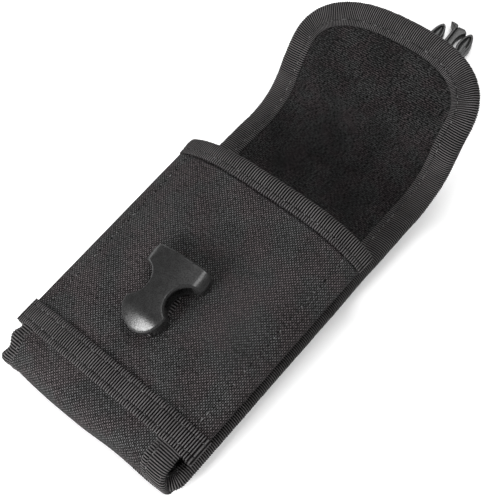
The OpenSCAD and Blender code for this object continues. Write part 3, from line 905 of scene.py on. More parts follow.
    def build(self, finishes: Finishes, tape: Tape) -> None:
        foam_top, foam_low = self.thickness - LINING_T - PLY_GAP, CLOTH_T + PLY_GAP
        shell = finishes.dress(self.layer(CLOTH_T, CLOTH_T), "back_panel_shell", Slot.WOVEN, ["back_shell"])
        padding = finishes.dress(self.layer(foam_top, foam_top - foam_low), "back_padding", Slot.FOAM,
                                 ["back_foam"])
        lining = finishes.dress(self.layer(self.thickness, LINING_T, self.puff), "flap_lining", Slot.LINING,
                                ["back_lining"])
        t = self.thickness
        upper = [(-9.8, 0.42), (-9.5, 0.86, 0.6), (-8.5, 0.95, 0.6), *sewn_down(-7.3, 0.9), (-6.0, 1.0),
                 (-4.4, 1.36), (-2.2, 1.40), (-0.3, 1.0)]
        outer = in_metres(upper, t)
        outer += [(SKIN, t - 0.3 * MM), (SKIN + 0.15 * MM, t / 2), (SKIN, 0.3 * MM), (0, -SKIN + 0.02 * MM),
                  (-3 * MM, -SKIN), (-self.seam_in, -0.6 * MM), (-self.leg, -SKIN + 0.1 * MM)]
        section = Section(outer, tape.thickness, back=6)
        fine = Tape(tape.thickness, 0.98 * MM)
        rim = fine.strip(fine.ribs(self.rim_line.length), section, self.rim_point, closed=True)
        binding = finishes.dress(rim, "rim_tape", Slot.TAPE, ["rim_binding"])
        sewing = Stitching()
        sewing.row(self.rim_line.length, lambda p, h: self.rim_point(p, -self.seam_in, t + 0.66 * MM + h))
        sewing.row(self.rim_line.length, lambda p, h: self.rim_point(p, -self.seam_in, -0.62 * MM - h))
        seam = finishes.dress(sewing.bm, "rim_stitches", Slot.THREAD)


@dataclass
class FrontPanel:
    """The domed front: a woven shell with folded hems over foam and lining, and the tapes along its ends."""

    length: float = 107.9 * MM
    low_w: float = 94.8 * MM
    mouth_w: float = 98.2 * MM
    low_mid: float = 15.4 * MM
    low_side: float = 10.8 * MM
    mouth_mid: float = 31.4 * MM
    mouth_side: float = 20.6 * MM
    square: float = 3.5
    thickness: float = 2.9 * MM
    foam: float = 1.2 * MM
    foam_inset: float = 1.4 * MM
    lining_gap: float = 0.2 * MM
    hem: float = 7.3 * MM
    mouth_leg: float = 8.0 * MM
    tape_w: float = 10.9 * MM
    tape_turn: float = 4.2 * MM
    first_y: float = 1.0 * MM
    seam_in: float = 6.7 * MM
    sag: tuple = ((0.0, 0.9 * MM), (0.25, 1.5 * MM), (0.6, 1.1 * MM), (1.0, 0.3 * MM))
    crease: float = 0.75 * MM
    crease_w: float = 0.5 * MM

    def half(self, y: float) -> float:
        """Half of the front's width."""
        return (self.low_w + (self.mouth_w - self.low_w) * y / self.length) / 2

    def side(self, y: float) -> float:
        """The height of its sides."""
        return self.low_side + (self.mouth_side - self.low_side) * y / self.length

    def mid(self, y: float) -> float:
        """The height of its middle."""
        return self.low_mid + (self.mouth_mid - self.low_mid) * y / self.length

    def z(self, x: float, y: float) -> float:
        """The height of its outer face."""
        side = self.side(y)
        return side + (self.mid(y) - side) * (1 - abs(x / self.half(y)) ** self.square)

    def around(self, y: float, lift: float, under: float) -> Line:
        """The line over the front from the left hem's edge to the right one's.

        Args:
            y: Where along the front.
            lift: The height over the outer face.
            under: How far the line runs on under each side.

        Returns:
            The line, as (x, z).
        """
        core = self.thickness / 2
        reach = self.half(y) - core
        steps = 44
        middle = []
        for i in range(steps + 1):
            x = reach * math.sin(math.pi / 2 * (2 * i / steps - 1))
            middle.append((x, self.z(x, y) - core))
        mid_line = Line(middle)
        off = core + lift
        over = [mid_line.points[i] + mid_line.normals[i] * off for i in range(steps + 1)]
        tip, normal = mid_line.points[-1], mid_line.normals[-1]
        turn = []
        for a in range(15, 181, 15):
            turned = Matrix.Rotation(-math.radians(a), 2) @ normal
            turn.append(tip + turned * off)
        back = Vector((-normal.y, normal.x))
        hem = [turn[-1] + back * under * k / 3 for k in (1, 2, 3)]
        right = [*turn, *hem]
        left = [Vector((-p.x, p.y)) for p in reversed(right)]
        return Line([*left, *over, *right])

    @property
    def tape_edge(self) -> float:
        """Where the mouth tape's lower edge presses the cloth in."""
        return self.length - SKIN - self.mouth_leg - 0.25 * MM

    def settle(self, x: float, y: float) -> float:
        """How the cloth lies off its even form: slack waves, and furrows at the side seams and the tape."""
        wave = 0.22 * MM * noise.noise(Vector((x * 38, y * 30, 1.7)))
        wave += 0.10 * MM * noise.noise(Vector((x * 120, y * 90, 5.2)))
        seam = self.half(y) - self.seam_in
        furrow = math.exp(-((abs(x) - seam) / (0.9 * MM)) ** 2)
        pull = 0.6 + 0.4 * math.cos(2 * math.pi * y / SEAM_PITCH)
        outside = smooth(seam, seam + 2.5 * MM, abs(x)) * 0.25 * MM
        crease = self.crease * math.exp(-((y - self.tape_edge) / self.crease_w) ** 2)
        return wave - 0.50 * MM * furrow * pull + outside - crease

    def cover(self) -> bmesh.types.BMesh:
        """The woven shell with its hems."""
        top, near = self.length - SKIN, 1.5 * MM
        stops = (self.first_y, self.tape_edge - near, self.tape_edge + near, top)
        counts = (98, 14, 10)
        levels = [a + (b - a) * k / count for a, b, count in zip(stops, stops[1:], counts)
                  for k in range(count)]
        levels.append(top)
        lines = [self.around(y, 0.0, self.hem) for y in levels]
        rows = sum(counts)

        def place(u: float, v: float) -> Vector:
            row = round(v * rows)
            point, normal = lines[row].at(u)
            rise = self.settle(point.x, levels[row]) * smooth(0.6, 0.9, normal.y)
            return sewn(point.x + normal.x * rise, levels[row], point.y + normal.y * rise)

        def flat(u: float, v: float) -> Vector:
            row = round(v * rows)
            return Vector(((u - 0.5) * lines[row].length, levels[row], 0))

        return panel(150, rows, place, flat, CLOTH_T)

    def inner(self, depth: float, thickness: float, inset: float) -> bmesh.types.BMesh:
        """A layer under the shell: the padding or the lining, so far under the front's outer face.

        Args:
            depth: How far its top is under the front's outer face.
            thickness: Its thickness.
            inset: How far its sides are inside the front's.

        Returns:
            The layer.
        """
        top = self.length - SKIN

        def place(u: float, v: float) -> Vector:
            y = self.first_y + (top - self.first_y) * v
            x = (2 * u - 1) * (self.half(y) - inset)
            return sewn(x, y, self.z(x, y) - depth)

        def flat(u: float, v: float) -> Vector:
            return Vector((u * self.low_w, v * top, 0))

        return panel(48, 40, place, flat, thickness)

    def tape_place(self, under: float) -> Callable[[float, float, float], Vector]:
        """Places a tape across the front by a share along it, a place up the front and a height over it."""
        lines: dict[int, Line] = {}

        def place(share: float, y: float, lift: float) -> Vector:
            key = round(y / (0.01 * MM))
            if key not in lines:
                lines[key] = self.around(y, 0.0, under)
            point = lines[key].off(share, lift)
            return sewn(point.x, y, point.y)

        return place

    def lower_tape(self, tape: Tape, sewing: Stitching) -> bmesh.types.BMesh:
        """The ribbed tape across the lower edge, sewn down in two rows."""
        w = self.tape_w / MM
        rising = [(0.0, 0.30), (0.4, 0.74), (1.3, 0.92), *sewn_down(2.6, 0.84), (4.0, 0.98), (w - 3.8, 0.98),
                  *sewn_down(w - 2.4, 0.84), (w - 1.2, 0.86), (w - 0.4, 0.74), (w, 0.30)]
        outer = in_metres(rising)
        section = Section(outer[::-1], tape.thickness, back=6, side=-1)
        heights = [knot[0:2] for knot in outer]
        over = self.tape_place(self.tape_turn)

        def place(share: float, y: float, lift: float) -> Vector:
            flat_end = smooth(0.11, 0.05, min(share, 1 - share))
            point = over(share, y, lift + (SKIN - table_at(heights, y)) * flat_end)
            return point - Vector((0, table_at(self.sag, share), 0))

        length = self.around(self.tape_w / 2, SKIN, self.tape_turn).length
        for y in (w - 2.4, 2.6):
            sewing.row(length, lambda p, h, y=y: place(p, y * MM, 0.62 * MM + h))
        return tape.strip(tape.ribs(length), section, place)

    def mouth_tape(self, tape: Tape, sewing: Stitching) -> bmesh.types.BMesh:
        """The ribbed tape folded over the top edge, its ends a little past the sides."""
        t, top = self.thickness / MM, self.length / MM
        low = top - SKIN / MM - self.mouth_leg / MM
        folded = [(low, 0.20), (low + 0.15, 0.84, 0.4), (low + 1.2, 0.84, 0.4),
                  *sewn_down(low + 2.3, 0.82, 0.6, 0.5), (low + 3.6, 0.95), (low + 5.4, 1.18),
                  (top - 1.2, 0.98), (top - 0.2, 0.0), (top + 0.1, -t / 2), (top - 0.2, -t),
                  (top - 1.2, -t - 0.72), (low + 5.0, -t - 0.74), (low + 2.4, -t - 0.6), (low, -t - 0.72)]
        section = Section(in_metres(folded), tape.thickness)
        past = 0.7 * MM

        def place(share: float, y: float, lift: float) -> Vector:
            inner_y = min(y, self.length)
            reach = self.half(inner_y) + past
            x = reach * math.sin(math.pi / 2 * (2 * share - 1)) * 0.25 + reach * (2 * share - 1) * 0.75
            edge = self.half(inner_y) - 1.4 * MM
            z = self.z(min(max(x, -edge), edge), inner_y)
            slope = (self.z(edge, inner_y) - self.z(edge - 1 * MM, inner_y)) / MM
            z += slope * max(abs(x) - edge, 0) * 1.3
            thin = 1 - 0.25 * smooth(edge, reach, abs(x))
            lean = -slope * smooth(0.7 * edge, edge, abs(x)) * 0.5 * (1 if x > 0 else -1)
            return sewn(x + lean * lift, y, z + (lift + self.thickness / 2) * thin - self.thickness / 2)

        length = self.around(self.length - 4 * MM, 0.0, 0.0).length
        sewing.row(length - 4 * MM, lambda p, h: place(0.02 + 0.96 * p, (low + 2.3) * MM, 0.60 * MM + h))
        return tape.strip(tape.ribs(length), section, place)

    def side_seams(self, sewing: Stitching) -> None:
        """The rows of stitches that hold the hems."""
        start, end = self.tape_w + 1.5 * MM, self.length - SKIN - self.mouth_leg - 1 * MM
        for side in (-1, 1):
            def path(share: float, lift: float, side: int = side) -> Vector:
                y = start + (end - start) * share
                x = side * (self.half(y) - self.seam_in)
                return sewn(x, y, self.z(x, y) + self.settle(x, y) + 0.28 * MM + lift)
            sewing.row(end - start, path)

    def build(self, finishes: Finishes, tape: Tape) -> None:
        shell = finishes.dress(self.cover(), "front_cover", Slot.WOVEN, ["front_shell"])
        padding = finishes.dress(self.inner(CLOTH_T + PLY_GAP, self.foam, self.foam_inset), "front_padding",
                                 Slot.FOAM, ["front_foam"])
        depth = self.thickness - CLOTH_T + 0.15 * MM
        lining = finishes.dress(self.inner(depth, LINING_T, self.hem + self.lining_gap), "front_pile_lining",
                                Slot.LINING, ["front_lining"])
        sewing = Stitching()
        low = finishes.dress(self.lower_tape(tape, sewing), "lower_edge_tape", Slot.TAPE, ["lower_tape"])
        mouth = finishes.dress(self.mouth_tape(tape, sewing), "mouth_tape", Slot.TAPE, ["mouth_binding"])
        self.side_seams(sewing)
        seams = finishes.dress(sewing.bm, "front_stitches", Slot.THREAD)
        flat = (self.around(self.length / 2, 0.0, self.hem).length, self.length)


@dataclass
class SideWalls:
    """The woven walls between the back panel and the front's hems, open at the bottom corners."""

    front: FrontPanel
    back: BackSheet
    inner_w: float = 80.4 * MM
    height: float = 12.5 * MM
    map_height: float = 16 * MM
    leg: float = 7.0 * MM
    tape_len: float = 13 * MM
    hem_seat: float = 1.0 * MM
    hem_clear: float = 0.25 * MM
    bow: float = 0.9 * MM

    @property
    def end(self) -> float:
        """Where the walls end at the mouth."""
        return self.front.length - SKIN - 1 * MM

    def foot(self, y: float) -> float:
        """The height of a wall's foot, on the lining."""
        return self.back.at(0, y - self.front.length, self.back.thickness).z - SEWING_ORIGIN.z + 0.1 * MM

    def at(self, side: int, v: float, y: float, out: float) -> Vector:
        """A point of a wall, at a share v of its height, out from its inner face.

        Args:
            side: -1 for the left wall, 1 for the right.
            v: The share of its height.
            y: The place along it.
            out: How far out.

        Returns:
            The point.
        """
        foot_x = self.inner_w / 2
        top_x = self.front.half(y) - self.front.hem + self.hem_seat
        over = SKIN * smooth(self.end - 8.4 * MM, self.end - 7.6 * MM, y)
        top = self.front.z(top_x + CLOTH_T, y) - self.front.thickness - self.hem_clear - over
        low = self.foot(y)
        fold = self.bow * math.sin(math.pi * v) * (0.6 + 0.5 * noise.noise(Vector((y * 45, side * 3.0, v))))
        x = foot_x + (top_x - foot_x) * v - fold + out
        return sewn(side * x, y, low + (top - low) * v)

    def build(self, finishes: Finishes, tape: Tape) -> None:
        """Builds both walls and the tape on their front edges."""
        start = self.front.first_y + 1 * MM
        thin = Tape(0.5 * MM, tape.pitch, 0.14 * MM)
        for side, name in ((-1, "left"), (1, "right")):
            def place(u: float, v: float, side: int = side) -> Vector:
                y = start + (self.end - start) * u
                return self.at(side, v, y, CLOTH_T)

            def flat(u: float, v: float) -> Vector:
                return Vector((u * self.end, v * self.map_height, 0))

            bm = panel(90, 10, place, flat, CLOTH_T)
            if side > 0:
                bmesh.ops.recalc_face_normals(bm, faces=bm.faces)
            wall = finishes.dress(bm, f"side_wall_{name}", Slot.WOVEN, [f"gusset_{name}"])
            leg, w = self.leg, CLOTH_T
            outer = [(-leg, w + 0.55 * MM), (-leg + 2.4 * MM, w + 0.6 * MM), (-1 * MM, w + 0.7 * MM),
                     (0.5 * MM, w * 0.8), (0.5 * MM, w * 0.2), (-1 * MM, -0.7 * MM), (-leg, -0.6 * MM)]
            section = Section(outer, thin.thickness, back=6)

            def edge(share: float, along: float, lift: float, side: int = side) -> Vector:
                y = self.end + min(along, 0.0)
                point = self.at(side, 0.08 + 0.84 * share, y, lift)
                return point + Vector((0, max(along, 0.0), 0))

            bound = thin.strip(thin.ribs(self.tape_len), section, edge)
            binding = finishes.dress(bound, f"side_wall_tape_{name}", Slot.TAPE, [f"gusset_binding_{name}"])


@dataclass
class BottomStrip:
    """The woven strip round the bottom, from the front's lower edge to under the back panel."""

    front: FrontPanel
    width: float = 86.6 * MM
    tape_y: float = -0.3 * MM
    bulge: float = 14.8 * MM
    tuck: float = 6 * MM
    legs: tuple = (5.8 * MM, 9.4 * MM)
    flare: float = 2.4 * MM
    pull: float = 1.1 * MM
    narrowing: float = 2.8 * MM

    @property
    def edge(self) -> float:
        """Half of the strip's width inside its bindings."""
        return self.width / 2 - SKIN

    def line(self, x: float, off: float, first_y: float) -> Line:
        """The strip's path at x, off under its outer face, as (y, z).

        Args:
            x: The place across.
            off: How far under the outer face.
            first_y: Where it starts, under the front.

        Returns:
            The path.
        """
        top = self.front.z(x, 0) - off
        out = off - self.bulge + self.narrowing * smooth(-0.4 * self.edge, 1.1 * self.edge, x)
        low = -(2 * SKIN + 2 * PLY_GAP + CLOTH_T) + off
        first = bezier(Vector((first_y, top)), Vector((out * 0.6, top)), Vector((out, top * 0.8)),
                       Vector((out, top * 0.35)), 18)
        second = bezier(first[-1], Vector((out, low * 0.5)), Vector((out * 0.97, low)),
                        Vector((out * 0.8, low)), 10)
        return Line([*first, *second[1:], (self.tuck, low)])

    def ruffle(self, x: float, share: float) -> float:
        """How far the strip's side waves outwards or in, at a share along its path."""
        near = smooth(self.edge - 14 * MM, self.edge, abs(x))
        beat = math.cos(2 * math.pi * (share - 0.14) / 0.235) * smooth(0.62, 0.45, share)
        return 0.75 * MM * near * beat * (1.0 if x < 0 else 0.35)

    def place(self, share: float, x: float, off: float, first_y: float) -> Vector:
        """A point of the strip or of a tape on it.

        Args:
            share: The share of the path.
            x: The place across.
            off: How far under the outer face.
            first_y: Where the path starts.

        Returns:
            The point.
        """
        point, normal = self.line(min(max(x, -self.edge), self.edge), 0.0, first_y).at(share)
        inside = smooth(0.02, 0.10, share) * smooth(0.75, 0.55, share)
        wave = 0.35 * MM * noise.noise(Vector((x * 55, share * 3.0, 2.0))) * inside
        wave += self.ruffle(x, share) * 0.7 * inside
        point = point - normal * (wave - off)
        side = 1 if x > 0 else -1
        flare = self.flare * smooth(0.4 * self.edge, self.edge, x) * smooth(0.18, 0.50, share)
        flare += self.pull * smooth(-0.5 * self.edge, -self.edge, x) * smooth(0.0, 0.30, share)
        return sewn(x + side * self.ruffle(x, share) * inside + flare, point.x, point.y)

    def build(self, finishes: Finishes, tape: Tape) -> None:
        """Builds the strip, its bindings and their stitches."""
        first_y = self.front.first_y - 0.4 * MM

        def place(u: float, v: float) -> Vector:
            return self.place(v, (2 * u - 1) * self.edge, 0.0, first_y)

        length = self.line(0, 0, first_y).length

        def flat(u: float, v: float) -> Vector:
            return Vector(((u - 0.5) * 2 * self.edge, v * length, 0))

        bm = panel(90, 64, place, flat, CLOTH_T)
        strip = finishes.dress(bm, "bottom_strip", Slot.WOVEN, ["bottom_wrap"])
        sewing, tapes, c = Stitching(), [], CLOTH_T
        for side, name, leg in ((-1, "left", self.legs[0]), (1, "right", self.legs[1])):
            e = self.edge
            outer = [(e - leg, -0.4 * MM), (e - 0.96 * leg, -0.72 * MM, 0.6),
                     (e - 0.80 * leg, -0.80 * MM), (e - 0.74 * leg, -0.38 * MM, 0.25),
                     (e - 0.69 * leg, -0.80 * MM),
                     (e - 0.55 * leg, -0.95 * MM), (e - 0.32 * leg, -1.1 * MM), (e - 0.4 * MM, -0.85 * MM),
                     (e + 0.7 * MM, -0.05 * MM), (e + 0.8 * MM, c / 2), (e + 0.7 * MM, c),
                     (e - 0.6 * MM, c + 0.7 * MM), (e - leg, c + 0.65 * MM)]
            section = Section(outer, tape.thickness, side=-1)

            def edge(share: float, across: float, off: float, side: int = side) -> Vector:
                return self.place(share, side * across, off, self.tape_y)

            bm = tape.strip(tape.ribs(length), section, edge)
            tapes.append(finishes.dress(bm, f"bottom_strip_tape_{name}", Slot.TAPE, [f"wrap_binding_{name}"]))
            sewing.row(length * 0.7, lambda p, h, side=side, leg=leg: self.place(
                0.02 + 0.7 * p, side * (self.edge - 0.74 * leg), -0.62 * MM - h, self.tape_y))
        tapes.append(finishes.dress(sewing.bm, "bottom_strip_stitches", Slot.THREAD))
        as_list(tapes)


@dataclass
class Webbing:
    """The flap's strap, the tab round the socket's bar and the belt loop, with their bar tacks."""

    back: BackSheet
    width: float = 14 * MM
    thickness: float = 1.0 * MM
    loop_t: float = 1.4 * MM
    loop_w: float = 40 * MM
    loop_y: float = 30 * MM
    loop_len: float = 76 * MM
    loop_end: float = 9 * MM
    loop_ramp: float = 6 * MM
    strap_start: float = 5 * MM
    strap_leave: float = 32 * MM
    strap_drop: float = 34 * MM
    strap_turn: float = 20 * MM
    tab_len: float = 16 * MM
    tack: float = 1.8 * MM
    tack_in: float = 2 * MM
    weave: Tape = Tape(1.0 * MM, 1.3 * MM, 0.13 * MM)

    def band(self, path: Line, width: float, thickness: float, seat: Matrix) -> bmesh.types.BMesh:
        """A length of webbing.

        Args:
            path: The middle of its thickness, as (y, z).
            width: Its width.
            thickness: Its thickness.
            seat: Where the path's plane is, in the row frame.

        Returns:
            The webbing as a closed mesh.
        """
        half = thickness / 2
        section = Section([(-width / 2, half), (0, half), (width / 2, half)], thickness, 7, 15, under=1.0)

        def place(share: float, across: float, lift: float) -> Vector:
            point, normal = path.at(share)
            return seat @ Vector((across, point.x + normal.x * lift, point.y + normal.y * lift))

        return self.weave.strip(self.weave.ribs(path.length), section, place)

    def strap_path(self, clip_seat: Vector) -> Line:
        """From the flap's outer face down to the table, round the clip's bar and back over itself."""
        lift = -(PLY_GAP + self.thickness / 2)
        on_flap = []
        for i in range(7):
            s = self.strap_start + (self.strap_leave - self.strap_start) * i / 6
            point = self.back.at(0, s, lift) - SEWING_ORIGIN
            on_flap.append(Vector((point.y, point.z)))
        edge, floor = on_flap[-1], -SEWING_ORIGIN.z + self.thickness / 2
        bar = Vector((clip_seat.y - SEWING_ORIGIN.y, clip_seat.z - SEWING_ORIGIN.z))
        lean = math.tan(math.radians(self.back.slope(self.strap_leave)))
        down = bezier(edge, edge + Vector((0.3, 0.3 * lean)) * self.strap_drop,
                      Vector((edge.x + self.strap_drop * 0.6, floor)),
                      Vector((edge.x + self.strap_drop, floor)), 14)
        wrap_r = RING_R - self.thickness / 2
        flat = [down[-1].lerp(bar + Vector((0, -wrap_r)), k / 16) for k in range(1, 16)]
        turn = [bar + wrap_r * Vector((math.cos(math.radians(a)), math.sin(math.radians(a))))
                for a in range(-90, 91, 12)]
        over = floor + self.thickness + PLY_GAP
        last = bezier(turn[-1], turn[-1] - Vector((4 * MM, 0)), Vector((bar.x - 6 * MM, over)),
                      Vector((bar.x - self.strap_turn / 2, over)), 10)
        return Line([*on_flap, *down[1:], *flat, *turn, *last[1:], (bar.x - self.strap_turn, over)])

    def tab_path(self) -> Line:
        """The tab from its sewn end, round the socket's bar."""
        low, wrap_r = PLY_GAP + self.thickness / 2, RING_R - self.thickness / 2
        centre = Vector((0, low + wrap_r))
        flat = [(self.tab_len * (1 - k / 8), low) for k in range(8)]
        turn = [centre + wrap_r * Vector((-math.sin(math.radians(a)), -math.cos(math.radians(a))))
                for a in range(0, 301, 12)]
        return Line([*flat, *turn])

    def belt_path(self) -> Line:
        """The belt loop, sewn at both ends and standing off between them."""
        a, b = self.loop_y, self.loop_y + self.loop_len
        seat, face = -(PLY_GAP + self.loop_t / 2), -SEWING_ORIGIN.z + self.loop_t / 2
        end, ramp = self.loop_end, self.loop_ramp
        first = bezier(Vector((a + end, seat)), Vector((a + end + ramp / 2, seat)),
                       Vector((a + end + ramp / 2, face)), Vector((a + end + ramp, face)), 8)
        last = [Vector((a + b - p.x, p.y)) for p in reversed(first)]
        return Line([(a, seat), *first, *last, (b, seat)])

    def turned(self, bm: bmesh.types.BMesh, clip_seat: Vector) -> bmesh.types.BMesh:
        """Turns the strap's end with the clip, which lies askew."""
        for vert in bm.verts:
            away = vert.co - clip_seat
            angle = CLIP_ASKEW * smooth(-40 * MM, -8 * MM, away.y)
            vert.co = clip_seat + Matrix.Rotation(angle, 3, "Z") @ away
        return bm

    def build(self, finishes: Finishes, socket_seat: Matrix, clip_seat: Vector) -> None:
        """Builds the webbing and the tacks."""
        plane = Matrix.Translation(SEWING_ORIGIN)
        strap_plane = Matrix.Translation(Vector((clip_seat.x, SEWING_ORIGIN.y, SEWING_ORIGIN.z)))
        strap_line, tab_line, belt_line = self.strap_path(clip_seat), self.tab_path(), self.belt_path()
        band = self.turned(self.band(strap_line, self.width, self.thickness, strap_plane), clip_seat)
        strap = finishes.dress(band, "flap_strap_webbing", Slot.TAPE, ["flap_strap"])
        tab = finishes.dress(self.band(tab_line, self.width, self.thickness, socket_seat),
                             "socket_tab_webbing", Slot.TAPE, ["socket_loop"])
        belt = finishes.dress(self.band(belt_line, self.loop_w, self.loop_t, plane),
                              "belt_loop_webbing", Slot.TAPE, ["belt_loop"])
        self.tacks(finishes, socket_seat, clip_seat)

    def tacks(self, finishes: Finishes, socket_seat: Matrix, clip_seat: Vector) -> None:
        """Builds the bar tacks."""
        low = -(2 * PLY_GAP + self.loop_t) - 0.15 * MM
        loop, half = Stitching(), self.loop_w / 2 - self.tack_in
        ends = (self.loop_y, self.loop_y + self.loop_len - self.loop_end)
        for y in [start + step for start in ends for step in (self.tack_in, self.loop_end - self.tack_in)]:
            loop.bar(sewn(-half, y, low), sewn(half, y, low), Vector((0, 0, -1)), self.tack)
        finishes.dress(loop.bm, "belt_loop_threads", Slot.THREAD, ["belt_loop_tacks"])
        strap, half, x = Stitching(), self.width / 2 - 1 * MM, clip_seat.x
        under = -(2 * PLY_GAP + self.thickness) - 0.15 * MM
        for s in (self.strap_start + self.tack_in, self.strap_leave - self.tack_in):
            tilt = math.radians(self.back.slope(s))
            up = Vector((0, math.sin(tilt), -math.cos(tilt)))
            strap.bar(self.back.at(x - half, s, under), self.back.at(x + half, s, under), up, self.tack)
        y, z = clip_seat.y - self.strap_turn + 3 * MM, 2 * (self.thickness + PLY_GAP) + 0.1 * MM
        strap.bar(Vector((x - half, y, z)), Vector((x + half, y, z)), Vector((0, 0, 1)), self.tack)
        self.turned(strap.bm, clip_seat)
        finishes.dress(strap.bm, "strap_threads", Slot.THREAD, ["strap_tacks"])
        tab = Stitching()
        ends = [socket_seat @ Vector((side * half, self.tab_len + 0.9 * MM, 0.3 * MM)) for side in (-1, 1)]
        tab.bar(*ends, Vector((0, 0, 1)), self.tack)
        finishes.dress(tab.bm, "socket_tab_threads", Slot.THREAD, ["socket_tack"])


# The buckle


def prism(outline: Sequence[Sequence[float]], low: float, high: float, soft: float) -> bmesh.types.BMesh:
    """A plate of that outline between two heights, its edges rounded by soft.

    Args:
        outline: Its corners, each (x, y).
        low: Its lower face's height.
        high: Its upper face's height.
        soft: How much its edges are rounded.

    Returns:
        The plate.
    """
    bm = bmesh.new()
    face = bm.faces.new([bm.verts.new((x, y, low)) for x, y in outline])
    made = bmesh.ops.extrude_face_region(bm, geom=[face])["geom"]
    bmesh.ops.translate(bm, verts=[v for v in made if isinstance(v, bmesh.types.BMVert)],
                        vec=(0, 0, high - low))
    bmesh.ops.recalc_face_normals(bm, faces=bm.faces)
    if soft:
        rims = [e for e in bm.edges if e.calc_face_angle(0.0) > math.radians(50)]
        bmesh.ops.bevel(bm, geom=rims, offset=soft, segments=3, profile=0.5, affect="EDGES", material=-1)
    return bm


def block(low: Sequence[float], high: Sequence[float], soft: float) -> bmesh.types.BMesh:
    """A box between two corners, its edges rounded by soft."""
    outline = [(low[0], low[1]), (high[0], low[1]), (high[0], high[1]), (low[0], high[1])]
    return prism(outline, low[2], high[2], soft)


def lofted(rings: Sequence[Sequence[Sequence[float]]]) -> bmesh.types.BMesh:
    """A solid through rings of as many points each, closed at both ends."""
    bm = bmesh.new()
    made = [[bm.verts.new(point) for point in ring] for ring in rings]
    bm.faces.new(reversed(made[0]))
    for low, high in zip(made, made[1:]):
        for i in range(len(low)):
            j = (i + 1) % len(low)
            bm.faces.new((low[i], low[j], high[j], high[i]))
    bm.faces.new(made[-1])
    return bm


def rod(radius: float, half: float, y: float, z: float) -> bmesh.types.BMesh:
    """A round bar across, at that height and place."""
    bm = bmesh.new()
    bmesh.ops.create_cone(bm, cap_ends=True, segments=24, radius1=radius, radius2=radius, depth=2 * half,
                          matrix=Matrix.Translation((0, y, z)) @ Matrix.Rotation(math.pi / 2, 4, "Y"))
    return bm


def gathered(parts: Iterable[bmesh.types.BMesh]) -> bmesh.types.BMesh:
    """Several meshes as one. They are freed."""
    whole = bmesh.new()
    for part in parts:
        mesh = bpy.data.meshes.new("part")
        part.to_mesh(mesh)
        part.free()
        whole.from_mesh(mesh)
        bpy.data.meshes.remove(mesh)
    return whole


def mirrored(bm: bmesh.types.BMesh) -> bmesh.types.BMesh:
    """A copy of a mesh on the other side of x = 0."""
    other = bm.copy()
    bmesh.ops.scale(other, verts=other.verts, vec=(-1, 1, 1))
    bmesh.ops.reverse_faces(other, faces=other.faces)
    return other


def carved(body: bmesh.types.BMesh, cutters: Sequence[bmesh.types.BMesh]) -> bmesh.types.BMesh:
    """The mesh with others cut out of it. They are all freed.

    Args:
        body: The mesh to cut.
        cutters: The meshes that are cut out.

    Returns:
        The carved mesh.
    """
    made = [object_of(bm, "carving") for bm in (body, *cutters)]
    for cutter in made[1:]:
        cut = made[0].modifiers.new("cut", "BOOLEAN")
        cut.operation, cut.solver, cut.object = "DIFFERENCE", "EXACT", cutter
    found = bmesh.new()
    found.from_mesh(made[0].evaluated_get(bpy.context.evaluated_depsgraph_get()).to_mesh())
    for thing in made:
        mesh = thing.data
        bpy.data.objects.remove(thing)
        bpy.data.meshes.remove(mesh)
    return found


def oval(length: float, width: float, power: float = 1.72, steps: int = 32) -> list[tuple[float, float]]:
    """A slightly pointed oval with its length along y.

    Args:
        length: Its length.
        width: Its width.
        power: 2 for an ellipse, less for more pointed ends.
        steps: How many points it gets.

    Returns:
        The points.
    """
    found = []
    for i in range(steps):
        c, n = math.cos(2 * math.pi * i / steps), math.sin(2 * math.pi * i / steps)
        found.append((math.copysign(width / 2 * abs(c) ** (2 / power), c),
                      math.copysign(length / 2 * abs(n) ** (2 / power), n)))
    return found


